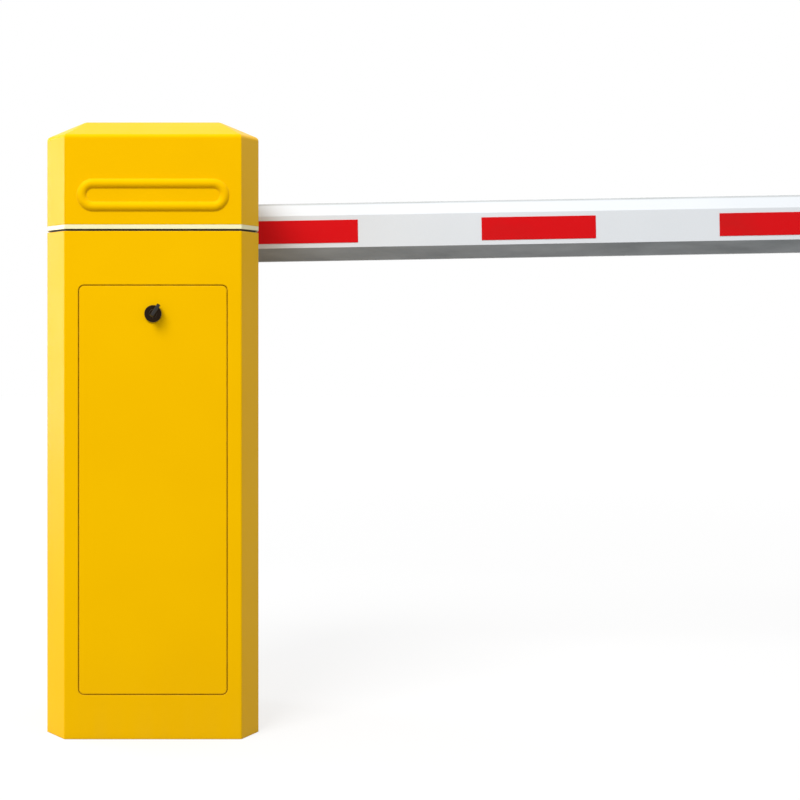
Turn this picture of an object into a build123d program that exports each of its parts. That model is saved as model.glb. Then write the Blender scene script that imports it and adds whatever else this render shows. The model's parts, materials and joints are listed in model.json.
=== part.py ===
from build123d import *
import math
import os

# A parking barrier gate. The front faces -Y, the boom points along +X, +Z is up.
# The origin is the centre of the column's footprint, on the ground. Sizes are in millimetres.

# Column: an octagonal sheet-steel housing.
column_width = 350.0
column_depth = 300.0
corner_width = 31.0
corner_depth = 50.0
column_height = 826.5
sheet = 2.0
bend_radius = 3.0
weld_gap = 0.2

# Base plate with its anchor holes and cable window.
base_thickness = 6.0
anchor_spacing_x = 240.0
anchor_spacing_y = 200.0
anchor_hole_radius = 7.0
cable_window_width = 140.0
cable_window_depth = 90.0
grommet_wall = 4.0
grommet_lip = 6.0
grommet_height = 12.0

# Hood: a pressed cap with a hipped top and an oval bead on its front.
seal_height = 3.5
seal_setback = 5.0
seal_width = 14.0
seat_flange_width = 24.0
seat_skirt_height = 26.0
trim_height = 7.0
trim_flange_width = 22.0
trim_rivet_leg = 24.0
skirt_height = 146.0
hip_rise = 28.0
hip_inset = 61.0
eave_radius = 8.0
eave_search_height = 0.1
bead_side_margin = 27.75
bead_height = 37.5
bead_width = 15.5
bead_relief = 4.0
bead_centre_above_skirt = 48.0

# Door: a flush lift-out panel in a rebate frame.
door_side_margin = 24.0
door_below_column_top = 89.0
door_bottom = 73.5
door_gap = 1.6
door_corner_radius = 8.0
seal_strip_width = 8.0
seal_strip_thickness = 2.0
seal_strip_inset = 1.5
frame_band = 14.0
frame_lip = 12.0
stiffener_side_margin = 25.0
stiffener_band = 24.0
stiffener_depth = 15.0
stiffener_bottom_margin = 40.0
stiffener_top_margin = 64.0
tongue_side_margin = 25.0
tongue_width = 24.0
tongue_depth = 10.5
tongue_thickness = 3.0
tongue_drop = 8.0

# Door lock.
lock_below_door_top = 45.5
lock_face_radius = 14.0
lock_face_thickness = 2.5
lock_barrel_radius = 10.0
lock_barrel_length = 20.0
lock_nut_radius = 15.0
lock_nut_thickness = 5.0
plug_radius = 6.5
cam_thickness = 3.0
cam_width = 14.0
cam_tip_length = 14.0
key_angle = 33.0
key_reach = 18.0
key_length = 20.0
key_bow_thickness = 6.0
key_blade_thickness = 2.4
key_blade_width = 7.0
turning_clearance = 0.05

# Boom: an octagonal aluminium profile with reflective bands.
boom_height = 106.0
boom_depth = 45.0
boom_front_flat = 59.0
boom_top_flat = 20.0
boom_wall = 2.0
boom_reach = 3010.0
boom_tail = 110.0
boom_behind_column = 62.0
boom_rest_pitch = 1.0
band_length = 210.0
band_height = 42.0
band_thickness = 0.6
band_pitch = 437.5
band_to_clamp = 50.0
last_band_to_tip = 8.0
cap_thickness = 5.0
cap_spigot = 25.0

# Boom clamp.
jaw_tail = 100.0
jaw_reach = 110.0
jaw_web = 11.5
jaw_cover = 8.0
jaw_margin = 24.0
jaw_gap = 1.0
clamp_bolt_inset = 24.0
hub_radius = 55.0
hub_thickness = 10.0
hub_boss_radius = 30.0
wall_to_hub = 4.0
hub_bolt_circle_radius = 42.0

# Main shaft, its bearings and its keys.
shaft_above_column = 15.5
shaft_radius = 20.0
shaft_window_radius = 30.0
press_clearance = 0.02
bush_wall = 5.0
bearing_flange = 96.0
bearing_corner_radius = 12.0
bearing_flange_thickness = 12.0
bearing_boss_radius = 38.0
bearing_length = 26.0
bearing_bolt_offset = 36.0
key_width = 12.0
key_height = 8.0
key_seat_depth = 5.0
key_margin = 1.0
shaft_chamfer = 1.0

# Chassis: two bearing plates on a base, carried by two rails in the column.
rail_leg = 50.0
rail_wall = 5.0
rail_length = 190.0
chassis_base_thickness = 6.0
chassis_base_side_gap = 17.0
chassis_base_overhang = 10.0
plate_thickness = 8.0
front_plate_setback = 105.0
plate_spacing = 142.0
plate_foot = 40.0
plate_bottom_width = 250.0
plate_shoulder_height = 170.0
front_plate_top_radius = 80.0
rear_plate_top_radius = 100.0
rear_window_width = 130.0
rear_window_height = 118.0
tie_radius = 10.0
upper_tie_offset = 78.0
upper_tie_below_shaft = 103.0
lower_tie_offset = 108.0
lower_tie_above_output = 40.0
rail_bolt_inset = 13.0
foot_bolt_offset = 114.0
rail_to_foot_bolt = 8.8

# Linkage in front of the chassis.
crank_radius = 70.0
spring_arm_radius = 80.0
arm_gap = 13.0
arm_thickness = 12.0
arm_half_width = 14.0
eye_gap = 1.0
eye_thickness = 13.0
eye_radius = 16.0
rocker_hub_radius = 32.0
crank_hub_radius = 26.0
pin_radius = 8.0
pin_head_radius = 12.0
pin_head_thickness = 4.0
pin_nut_thickness = 6.0
pin_clearance = 0.1
rod_radius = 10.0
rod_end_shank_radius = 6.0
rod_end_neck = 34.0
rod_thread_depth = 30.0
stop_gap = 0.3
stop_radius = 10.0
stop_thickness = 12.0
stop_distance = 52.0
stop_block_bottom = 85.0
stop_block_half_width = 38.0
stop_block_width = 22.0

# Balance spring.
spring_radius = 15.0
spring_wire = 4.0
hanger_length = 34.0
hanger_hole_radius = 5.0
spring_hook_length = 18.0
anchor_width = 46.0
anchor_height = 24.0
anchor_thickness = 7.0
anchor_reach = 50.0
eye_bolt_radius = 6.0
eye_bolt_ring_radius = 11.0
eye_bolt_ring_wire = 5.0
eye_bolt_rise = 32.0
eye_bolt_tail = 20.0

# Worm gearbox.
output_below_shaft = 283.0
gearbox_above_base = 26.0
gear_module = 2.0
wheel_teeth = 40
worm_pitch_radius = 12.0
gear_backlash = 0.5
addendum_factor = 0.95
dedendum_factor = 1.25
pressure_angle = 20.0
wheel_face = 16.0
worm_turns = 6
gear_setback = 46.0
output_shaft_radius = 12.5
worm_shaft_radius = 8.0
housing_margin = 14.0
housing_depth = 92.0
housing_half_height = 58.0
worm_chamber_radius = 20.0
wheel_chamber_clearance = 4.0
gearbox_cover_thickness = 8.0
gearbox_bolt_offset = 50.0
cover_spigot_depth = 26.0
housing_edge_radius = 8.0
handwheel_radius = 42.0
handwheel_rim = 6.0
handwheel_above_housing = 30.0
handwheel_hub_radius = 13.0

# Drive motor, below the gearbox.
motor_radius = 58.0
motor_length = 180.0
motor_flange_width = 72.0
motor_flange_depth = 90.0
motor_flange_thickness = 12.0
motor_neck_radius = 32.0
motor_neck_length = 20.0
motor_bolt_offset_x = 25.0
motor_bolt_offset_y = 36.0
motor_wall = 25.0
motor_end_wall = 14.0
motor_edge_chamfer = 3.0
motor_fins = 24
fin_depth = 4.0
fin_width = 3.0
rotor_gap = 1.0
terminal_box_width = 70.0
terminal_box_height = 70.0
terminal_box_depth = 34.0
motor_passage_clearance = 5.0

# Limit sensors and their cam disc.
cam_disc_radius = 38.0
cam_lobe_radius = 50.0
cam_lobe_angle = 20.0
cam_disc_thickness = 4.0
cam_hub_radius = 27.0
cam_hub_thickness = 12.0
cam_to_rear_plate = 39.0
sensor_radius = 6.0
sensor_length = 40.0
sensor_air_gap = 2.0
sensor_shelf_distance = 70.0
sensor_shelf_thickness = 3.0
sensor_shelf_width = 34.0
sensor_shelf_foot = 20.0
sensor_nut_radius = 9.0
sensor_nut_thickness = 4.0

# Control box on the rear wall.
control_width = 220.0
control_height = 170.0
control_depth = 70.0
control_wall = 3.0
control_corner_radius = 6.0
control_lid_thickness = 7.0
control_bottom = 60.0
board_width = 190.0
board_height = 140.0
board_thickness = 2.0
board_standoff = 8.0
board_margin = 12.0
transformer_size = (56.0, 40.0, 48.0)
capacitor_radius = 16.0
capacitor_height = 76.0
relay_size = (16.0, 16.0, 28.0)
relay_count = 3
relay_pitch = 22.0
terminal_size = (150.0, 14.0, 16.0)
gland_count = 4
gland_radius = 11.0
gland_length = 22.0
gland_hex_length = 7.3
gland_spacing = 45.0
gland_bore_radius = 6.0
gland_wall = 2.0
gland_nose_radius = 9.5

# One hex bolt with nut is used all over the chassis, a larger one on the boom.
bolt_radius = 4.0
bolt_length = 30.0
bolt_head_radius = 7.5
bolt_head_thickness = 5.3
bolt_hole_clearance = 0.3
large_bolt_radius = 5.0
large_head_radius = 9.2
large_head_thickness = 6.4
seat_gap = 0.3

# Places that follow from the sizes above.
front_face = -column_depth / 2
rear_face = column_depth / 2
door_width = column_width - 2 * (corner_width + door_side_margin)
door_height = column_height - door_below_column_top - door_bottom
stiffener_width = door_width - 2 * stiffener_side_margin
stiffener_height = door_height - stiffener_bottom_margin - stiffener_top_margin
tongue_spacing = stiffener_width - 2 * tongue_side_margin
bead_length = column_width - 2 * (corner_width + bead_side_margin)
chassis_base_width = column_width - 2 * chassis_base_side_gap
shaft_height = column_height + shaft_above_column
output_height = shaft_height - output_below_shaft
seal_top = column_height + seal_height
trim_top = seal_top + trim_height
eave_height = trim_top + skirt_height
front_plate_y = front_face + front_plate_setback
rear_plate_y = front_plate_y + plate_thickness + plate_spacing
arm_back = front_plate_y - arm_gap
arm_front = arm_back - arm_thickness
eye_back = arm_front - eye_gap
eye_front = eye_back - eye_thickness
eye_middle = (eye_front + eye_back) / 2
boom_y = rear_face + boom_behind_column
boom_face = boom_y - boom_depth / 2
jaw_front = boom_face - jaw_web
hub_front = jaw_front - hub_thickness
boss_front = rear_face + wall_to_hub
boom_travel = 90.0 - boom_rest_pitch
crank_angle = -boom_travel / 2
spring_arm_angle = crank_angle + 180.0
gear_y = front_plate_y + plate_thickness + gear_setback
wheel_pitch_radius = gear_module * wheel_teeth / 2
worm_x = -(wheel_pitch_radius + worm_pitch_radius)
worm_root_radius = worm_pitch_radius - dedendum_factor * gear_module
housing_front = front_plate_y + plate_thickness
housing_back = housing_front + housing_depth
wheel_tip_radius = wheel_pitch_radius + gear_module
wheel_chamber_radius = wheel_tip_radius + wheel_chamber_clearance
housing_left = worm_x - worm_chamber_radius - housing_margin
housing_right = wheel_chamber_radius + housing_margin
housing_bottom = output_height - housing_half_height
housing_top = output_height + housing_half_height
plate_bottom = housing_bottom - gearbox_above_base
chassis_height = plate_bottom - chassis_base_thickness
upper_tie_height = shaft_height - upper_tie_below_shaft
lower_tie_height = output_height + lower_tie_above_output
anchor_top = plate_bottom + anchor_height
eye_bolt_centre_height = anchor_top + eye_bolt_rise
spring_bottom = eye_bolt_centre_height + spring_hook_length
motor_top = housing_bottom - motor_flange_thickness
motor_body_top = motor_top - motor_neck_length
motor_bottom = motor_body_top - motor_length
chassis_front = front_plate_y - chassis_base_overhang
chassis_back = rear_plate_y + plate_thickness
cam_y = rear_plate_y - cam_to_rear_plate
lock_height = door_bottom + door_height - lock_below_door_top


# Helpers.


def block(x_span, y_span, z_span):
    """A box between two values on each axis."""
    size = [high - low for low, high in (x_span, y_span, z_span)]
    middle = [(high + low) / 2 for low, high in (x_span, y_span, z_span)]
    return Pos(*middle) * Box(*size)


def across(sketch, y_front, y_back):
    """A sketch drawn in X and Z, made solid between two depths."""
    plane = Plane((0, y_back, 0), x_dir=(1, 0, 0), z_dir=(0, -1, 0))
    return extrude(plane * sketch, amount=y_back - y_front)


def upright(sketch, z_bottom, z_top):
    """A sketch drawn in X and Y, made solid between two heights."""
    return extrude(Pos(0, 0, z_bottom) * sketch, amount=z_top - z_bottom)


def disc_y(x, z, radius, y_front, y_back):
    """A round bar along Y."""
    return across(Pos(x, z) * Circle(radius), y_front, y_back)


def disc_z(x, y, radius, z_bottom, z_top):
    """A round bar along Z."""
    return upright(Pos(x, y) * Circle(radius), z_bottom, z_top)


def around_y(shape, angle, x=0.0, z=0.0):
    """Turn a shape about a line along Y: a positive angle lifts what points along +X."""
    return Pos(x, 0, z) * Rot(0, -angle, 0) * Pos(-x, 0, -z) * shape


def polar(radius, angle, x=0.0, z=0.0):
    """A point at a radius and angle from a centre, in X and Z."""
    turn = math.radians(angle)
    return x + radius * math.cos(turn), z + radius * math.sin(turn)


def group(shapes):
    """Separate solids kept together as one node."""
    solids = []
    for shape in shapes:
        solids.extend(shape.solids())
    return Compound(children=solids)


def bolt_y(x, z, y_head, direction, length, radius, head_radius, head_thickness, nut_y=None):
    """A hex bolt along Y with its head at y_head; nut_y is where its nut's near face lies."""
    y_tip = y_head + direction * length
    y_top = y_head - direction * head_thickness
    shank = disc_y(x, z, radius, min(y_head, y_tip), max(y_head, y_tip))
    head_plan = Pos(x, z) * RegularPolygon(head_radius, 6)
    head = across(head_plan, min(y_head, y_top), max(y_head, y_top))
    bolt = [shank + head]
    if nut_y is not None:
        nut_end = nut_y + direction * head_thickness
        nut_plan = head_plan - Pos(x, z) * Circle(radius + press_clearance)
        bolt.append(across(nut_plan, min(nut_y, nut_end), max(nut_y, nut_end)))
    return bolt


def bolt_z(x, y, z_head, direction, length, radius, head_radius, head_thickness, nut_z=None):
    """A hex bolt along Z with its head at z_head; nut_z is where its nut's near face lies."""
    z_tip = z_head + direction * length
    z_top = z_head - direction * head_thickness
    shank = disc_z(x, y, radius, min(z_head, z_tip), max(z_head, z_tip))
    head_plan = Pos(x, y) * RegularPolygon(head_radius, 6)
    head = upright(head_plan, min(z_head, z_top), max(z_head, z_top))
    bolt = [shank + head]
    if nut_z is not None:
        nut_end = nut_z + direction * head_thickness
        nut_plan = head_plan - Pos(x, y) * Circle(radius + press_clearance)
        bolt.append(upright(nut_plan, min(nut_z, nut_end), max(nut_z, nut_end)))
    return bolt


def square_pattern(x, z, offset):
    """Four points round a centre."""
    return [(x + side * offset, z + rise * offset) for side in (-1, 1) for rise in (-1, 1)]


# Column.


def column_outline(inset=0.0):
    """The column's octagon seen from above, moved in by inset on every side."""
    half_x = column_width / 2
    half_y = column_depth / 2
    quarter = [(half_x, half_y - corner_depth), (half_x - corner_width, half_y)]
    points = quarter + [(-x, y) for x, y in reversed(quarter)]
    points = points + [(-x, -y) for x, y in points]
    outline = make_face(Polyline(*points, close=True))
    if inset:
        outline = offset(outline, -inset, kind=Kind.INTERSECTION)
    return outline


def column_ring(outer_inset, width, z_bottom, z_top):
    """A band that follows the octagon, outer_inset in from it."""
    ring = column_outline(outer_inset) - column_outline(outer_inset + width)
    return upright(ring, z_bottom, z_top)


def shaft_window(height_below):
    """The gap in the rear wall for the main shaft, open downwards by height_below."""
    y_front = rear_face - sheet - seat_flange_width - seal_setback
    window = disc_y(0, shaft_height, shaft_window_radius, y_front, rear_face + sheet)
    if height_below:
        span = (-shaft_window_radius, shaft_window_radius)
        window += block(span, (y_front, rear_face + sheet), (shaft_height - height_below, shaft_height))
    return window


def door_outline(grow):
    """The door's rounded rectangle in X and Z, grown by a margin on every side."""
    centre = door_bottom + door_height / 2
    radius = max(door_corner_radius + grow, sheet)
    return Pos(0, centre) * RectangleRounded(door_width + 2 * grow, door_height + 2 * grow, radius)


def cabinet_body():
    outer = upright(column_outline(), 0, column_height)
    outer = fillet(outer.edges().filter_by(Axis.Z), bend_radius)
    shell = outer - upright(column_outline(sheet), 0, column_height)
    shell -= across(door_outline(door_gap), front_face, front_face + sheet)
    return shell - shaft_window(0)


def base_plate():
    plan = column_outline(sheet + weld_gap) - Rectangle(cable_window_width, cable_window_depth)
    for side in (-1, 1):
        for end in (-1, 1):
            plan -= Pos(side * anchor_spacing_x / 2,
                        end * anchor_spacing_y / 2) * Circle(anchor_hole_radius)
    return upright(plan, 0, base_thickness)


def cable_grommet():
    outer_x = cable_window_width - 2 * weld_gap
    outer_y = cable_window_depth - 2 * weld_gap
    bore = Rectangle(outer_x - 2 * grommet_wall, outer_y - 2 * grommet_wall)
    sleeve = upright(Rectangle(outer_x, outer_y), weld_gap, grommet_height)
    lip_plan = Rectangle(outer_x + 2 * grommet_lip, outer_y + 2 * grommet_lip)
    sleeve += upright(lip_plan, base_thickness, base_thickness + grommet_wall)
    return sleeve - upright(bore, 0, grommet_height)


def door_frame():
    wall_inside = front_face + sheet
    lip_front = wall_inside + seal_strip_thickness
    frame = across(door_outline(door_gap + frame_band), wall_inside, lip_front + sheet)
    frame -= across(door_outline(door_gap), wall_inside, lip_front)
    return frame - across(door_outline(door_gap - frame_lip), wall_inside, lip_front + sheet)


def door_seal():
    strip = door_outline(-seal_strip_inset) - door_outline(-seal_strip_inset - seal_strip_width)
    wall_inside = front_face + sheet
    return across(strip, wall_inside, wall_inside + seal_strip_thickness)


def hood_seat_frame():
    inner = sheet + weld_gap
    frame = column_ring(inner, seat_flange_width, column_height - sheet, column_height)
    frame += column_ring(inner, sheet, column_height - seat_skirt_height, column_height)
    return frame - shaft_window(0)


def hood_seal():
    return column_ring(seal_setback, seal_width, column_height, seal_top) - shaft_window(shaft_height)


# Hood.


def hood_form(inset):
    """The hood's outer shape, moved in by inset: a skirt with a hipped cap on it."""
    slope = math.atan2(hip_rise, hip_inset)
    eave = eave_height - inset * math.tan((math.pi / 2 - slope) / 2)
    top_inset = hip_inset + inset * math.tan(slope / 2)
    skirt = upright(column_outline(inset), trim_top, eave)
    lower = Pos(0, 0, eave) * column_outline(inset)
    upper = Pos(0, 0, eave_height + hip_rise - inset) * column_outline(top_inset)
    form = skirt + loft([lower, upper])
    z_span = (eave - eave_search_height, eave + eave_search_height)
    eave_edges = form.edges().filter_by_position(Axis.Z, *z_span)
    return fillet(eave_edges, eave_radius - inset)


def bead_tube(radius, y):
    """A closed tube that follows the oval bead, its centre line at depth y."""
    centre = trim_top + bead_centre_above_skirt
    rise = bead_height / 2
    half_straight = (bead_length - bead_height) / 2
    reach = half_straight + rise + radius
    y_span = (y - radius, y + radius)
    z_span = (centre - rise - radius, centre + rise + radius)
    tube = Part()
    for side in (-1, 1):
        straight = Rot(0, 90, 0) * Cylinder(radius, 2 * half_straight)
        tube += Pos(0, y, centre + side * rise) * straight
        end = Pos(side * half_straight, y, centre) * Rot(90, 0, 0) * Torus(rise, radius)
        tube += end & block(sorted((side * half_straight, side * reach)), y_span, z_span)
    return tube


def hood_shell():
    shell = hood_form(0) - hood_form(sheet)
    round_radius = (bead_relief**2 + (bead_width / 2) ** 2) / (2 * bead_relief)
    bead_y = front_face - bead_relief + round_radius
    pressed = block((-bead_length, bead_length), (front_face - round_radius, front_face + sheet),
                    (trim_top, eave_height))
    shell += bead_tube(round_radius, bead_y) & pressed
    shell -= bead_tube(round_radius - sheet, bead_y) & pressed
    return shell - shaft_window(shaft_height)


def hood_trim():
    trim = column_ring(0, trim_flange_width, seal_top, seal_top + sheet)
    trim += column_ring(0, sheet, seal_top, trim_top)
    trim += column_ring(sheet + weld_gap, sheet, seal_top, seal_top + trim_rivet_leg)
    return trim - shaft_window(shaft_height)


# Door.


def lock_bore(radius):
    return disc_y(0, lock_height, radius, front_face - sheet, front_face + sheet)


def door_panel():
    panel = across(door_outline(0), front_face, front_face + sheet)
    return panel - lock_bore(lock_barrel_radius + weld_gap)


def door_stiffener():
    """A pressed ring on the door's back, with the two bottom tongues that hook behind the frame."""
    back = front_face + sheet
    bottom = door_bottom + stiffener_bottom_margin
    centre = bottom + stiffener_height / 2
    plan = Pos(0, centre) * Rectangle(stiffener_width, stiffener_height)
    window = Pos(0, centre) * Rectangle(stiffener_width - 2 * stiffener_band,
                                        stiffener_height - 2 * stiffener_band)
    groove_band = stiffener_band - 2 * sheet
    groove = Pos(0, centre) * Rectangle(stiffener_width - 2 * sheet, stiffener_height - 2 * sheet)
    groove -= Pos(0, centre) * Rectangle(stiffener_width - 2 * sheet - 2 * groove_band,
                                         stiffener_height - 2 * sheet - 2 * groove_band)
    ring = across(plan - window, back, back + stiffener_depth)
    ring -= across(groove, back, back + stiffener_depth - sheet)
    lip_top = door_bottom - door_gap + frame_lip
    for side in (-1, 1):
        x_span = (side * tongue_spacing / 2 - tongue_width / 2,
                  side * tongue_spacing / 2 + tongue_width / 2)
        hook_top = lip_top + seat_gap + tongue_thickness
        ring += block(x_span, (back, back + tongue_thickness),
                      (hook_top - tongue_thickness, bottom + stiffener_band))
        ring += block(x_span, (back, back + tongue_depth), (hook_top - tongue_thickness, hook_top))
        ring += block(x_span, (back + tongue_depth - tongue_thickness, back + tongue_depth),
                      (lip_top - tongue_drop, hook_top))
    return ring


def lock_body():
    face = disc_y(0, lock_height, lock_face_radius, front_face - lock_face_thickness, front_face)
    barrel = disc_y(0, lock_height, lock_barrel_radius, front_face, front_face + lock_barrel_length)
    bore = disc_y(0, lock_height, plug_radius + turning_clearance,
                  front_face - lock_face_thickness, front_face + lock_barrel_length)
    nut_plan = Pos(0, lock_height) * (RegularPolygon(lock_nut_radius,
                                                     6) - Circle(lock_barrel_radius + weld_gap))
    nut = across(nut_plan, front_face + sheet, front_face + sheet + lock_nut_thickness)
    return group([(face + barrel) - bore, nut])


def lock_plug():
    y_front = front_face - lock_face_thickness
    y_back = front_face + lock_barrel_length + cam_thickness + seat_gap
    plug = disc_y(0, lock_height, plug_radius, y_front, y_back)
    slot = key_blade(weld_gap)
    return plug - slot


def key_blade(grow):
    """The key's blade, from inside its bow into the plug, grown by a clearance."""
    half = key_blade_thickness / 2 + grow
    rise = key_blade_width / 2 + grow
    span_y = (front_face - lock_face_thickness - key_length / 2,
              front_face + lock_barrel_length / 2 + grow)
    span_z = (lock_height - rise, lock_height + rise)
    return around_y(block((-half, half), span_y, span_z), -key_angle, 0, lock_height)


def lock_key():
    y_front = front_face - lock_face_thickness
    half = key_bow_thickness / 2
    bow = block((-half, half), (y_front - key_length, y_front - seat_gap),
                (lock_height - plug_radius, lock_height + key_reach))
    bow = fillet(bow.edges().filter_by(Axis.X), half)
    bow = around_y(bow, -key_angle, 0, lock_height)
    return bow + key_blade(0)


def lock_cam():
    """The cam lies level while the door is free and turns up behind the frame's lip to lock."""
    y_back = front_face + lock_barrel_length + seat_gap
    lip_back = front_face + 2 * sheet + seal_strip_thickness
    tip_y = lip_back + seat_gap
    reach = lock_below_door_top + door_gap - frame_lip + cam_tip_length
    arm = across(Pos(reach / 2, lock_height) * SlotCenterToCenter(reach, cam_width), y_back,
                 y_back + cam_thickness)
    tip_span = (reach - cam_tip_length + seat_gap + cam_width / 2, reach + cam_width / 2)
    z_span = (lock_height - cam_width / 4, lock_height + cam_width / 4)
    arm += block((tip_span[0] - cam_width, tip_span[0] - cam_width + cam_thickness), (tip_y, y_back),
                 z_span)
    arm += block((tip_span[0] - cam_width, tip_span[1] - cam_width / 2), (tip_y, tip_y + cam_thickness),
                 z_span)
    return arm - disc_y(0, lock_height, plug_radius + press_clearance, y_back, y_back + cam_thickness)


# Boom.


def boom_section(grow=0.0):
    """The boom's octagon across its length: X is the depth, Y is the height."""
    half_depth = boom_depth / 2
    half_height = boom_height / 2
    quarter = [(half_depth, boom_front_flat / 2), (boom_top_flat / 2, half_height)]
    points = quarter + [(-x, y) for x, y in reversed(quarter)]
    points = points + [(-x, -y) for x, y in points]
    section = make_face(Polyline(*points, close=True))
    if grow:
        section = offset(section, grow, kind=Kind.INTERSECTION)
    return section


def along_boom(section, x_start, x_end):
    """A boom section made solid along X, at the boom's place, still level."""
    plane = Plane((x_start, boom_y, shaft_height), x_dir=(0, 1, 0), z_dir=(1, 0, 0))
    return extrude(plane * section, amount=x_end - x_start)


def pitched(shape):
    """The boom rests raised by a small angle about the main shaft."""
    return around_y(shape, boom_rest_pitch, 0, shaft_height)


def boom_tube():
    walls = boom_section() - boom_section(-boom_wall)
    return pitched(along_boom(walls, -boom_tail, boom_reach))


def boom_end_caps():
    caps = []
    spigot = boom_section(-boom_wall - weld_gap)
    for x_face, outward in ((-boom_tail, -1), (boom_reach, 1)):
        plate_end = x_face + outward * cap_thickness
        spigot_end = x_face - outward * cap_spigot
        cap = along_boom(boom_section(), min(x_face, plate_end), max(x_face, plate_end))
        inner = along_boom(spigot - boom_section(-2 * boom_wall - weld_gap), min(x_face, spigot_end),
                           max(x_face, spigot_end))
        caps.append(pitched(cap + inner))
    return group(caps)


def boom_reflectors():
    bands = []
    last_start = boom_reach - last_band_to_tip - band_length
    count = math.floor((last_start - jaw_reach - band_to_clamp) / band_pitch) + 1
    for number in range(count):
        x_start = last_start - number * band_pitch
        for side in (-1, 1):
            y_inner = boom_y + side * boom_depth / 2
            y_outer = y_inner + side * band_thickness
            z_span = (shaft_height - band_height / 2, shaft_height + band_height / 2)
            y_span = (min(y_inner, y_outer), max(y_inner, y_outer))
            bands.append(pitched(block((x_start, x_start + band_length), y_span, z_span)))
    return group(bands)


def clamp_bolt_places():
    rise = boom_height / 2 + jaw_margin / 2
    return [(x, shaft_height + side * rise) for x in (clamp_bolt_inset - jaw_tail,
                                                      jaw_reach - clamp_bolt_inset)
            for side in (-1, 1)]


def hub_bolt_places():
    return [polar(hub_bolt_circle_radius, angle, 0, shaft_height) for angle in (0, 90, 180, 270)]


def clamp_jaw(y_front, y_back):
    """One half of the clamp: a block with the boom's shape cut out of it."""
    half_height = boom_height / 2 + jaw_margin
    x_span = (-jaw_tail, jaw_reach)
    jaw = block(x_span, (y_front, y_back), (shaft_height - half_height, shaft_height + half_height))
    jaw -= along_boom(boom_section(weld_gap), *x_span)
    for x, z in clamp_bolt_places():
        jaw -= disc_y(x, z, large_bolt_radius + bolt_hole_clearance, y_front, y_back)
    return jaw


def clamp_inner_jaw():
    jaw = clamp_jaw(jaw_front, boom_y - jaw_gap / 2)
    for x, z in hub_bolt_places():
        jaw -= disc_y(x, z, large_bolt_radius + press_clearance, jaw_front, boom_face)
    return pitched(jaw)


def clamp_outer_jaw():
    return pitched(clamp_jaw(boom_y + jaw_gap / 2, boom_y + boom_depth / 2 + jaw_cover))


def clamp_bolts():
    y_head = boom_y + boom_depth / 2 + jaw_cover
    length = y_head - jaw_front + large_head_thickness + sheet
    bolts = []
    for x, z in clamp_bolt_places():
        bolts += bolt_y(x, z, y_head, -1, length, large_bolt_radius, large_head_radius,
                        large_head_thickness, jaw_front)
    return group([pitched(bolt) for bolt in bolts])


def hub_bolts():
    bolts = []
    for x, z in hub_bolt_places():
        length = hub_thickness + jaw_web - sheet
        bolts += bolt_y(x, z, hub_front, 1, length, large_bolt_radius, large_head_radius,
                        large_head_thickness)
    return group([pitched(bolt) for bolt in bolts])


def key_slot(y_front, y_back, grow):
    """The key on top of the shaft, grown by a clearance."""
    half = key_width / 2 + grow
    bottom = shaft_height + shaft_radius - key_seat_depth
    return block((-half, half), (y_front, y_back), (bottom - grow, bottom + key_height + grow))


key_ends = ((arm_front + key_margin, arm_back - key_margin),
            (boss_front + key_margin, jaw_front - key_margin))


def shaft_keys():
    return group([key_slot(y_front, y_back, 0) for y_front, y_back in key_ends])


def main_shaft():
    shaft = disc_y(0, shaft_height, shaft_radius, arm_front, jaw_front)
    shaft = chamfer(shaft.edges().filter_by(GeomType.CIRCLE), shaft_chamfer)
    for y_front, y_back in key_ends:
        shaft -= key_slot(y_front - press_clearance, y_back + press_clearance, press_clearance)
    return shaft


def boom_hub():
    hub = disc_y(0, shaft_height, hub_radius, hub_front, jaw_front)
    hub += disc_y(0, shaft_height, hub_boss_radius, boss_front, hub_front)
    hub -= disc_y(0, shaft_height, shaft_radius + press_clearance, boss_front, jaw_front)
    hub -= key_slot(boss_front, jaw_front, press_clearance)
    for x, z in hub_bolt_places():
        hub -= pitched(disc_y(x, z, large_bolt_radius + bolt_hole_clearance, hub_front, jaw_front))
    return hub


# Chassis.


def rail_bolt_places():
    x = chassis_base_width / 2 - rail_bolt_inset
    return [(side * x, y) for side in (-1, 1) for y in (front_plate_y + rail_bolt_inset,
                                                        rail_length / 2 - rail_bolt_inset)]


def foot_bolt_places():
    front = front_plate_y + plate_thickness + plate_foot / 2
    rear = rear_plate_y - plate_foot / 2
    return [(side * foot_bolt_offset, y) for side in (-1, 1) for y in (front, rear)]


def support_rails():
    """Two angles on the column's side walls."""
    rails = []
    wall = column_width / 2 - sheet - weld_gap
    for side in (-1, 1):
        y_span = (-rail_length / 2, rail_length / 2)
        leg = sorted((side * wall, side * (wall - rail_wall)))
        ledge = sorted((side * wall, side * (foot_bolt_offset + rail_to_foot_bolt)))
        rail = block(leg, y_span, (chassis_height - rail_leg, chassis_height))
        rail += block(ledge, y_span, (chassis_height - rail_wall, chassis_height))
        for x, y in rail_bolt_places():
            rail -= disc_z(x, y, bolt_radius + bolt_hole_clearance, chassis_height - rail_wall,
                           chassis_height)
        rails.append(rail)
    return group(rails)


def chassis_base():
    base = block((-chassis_base_width / 2, chassis_base_width / 2), (chassis_front, chassis_back),
                 (chassis_height, plate_bottom))
    base -= disc_z(worm_x, gear_y, motor_radius + motor_passage_clearance, chassis_height, plate_bottom)
    for x, y in rail_bolt_places() + foot_bolt_places():
        base -= disc_z(x, y, bolt_radius + bolt_hole_clearance, chassis_height, plate_bottom)
    return base


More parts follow.
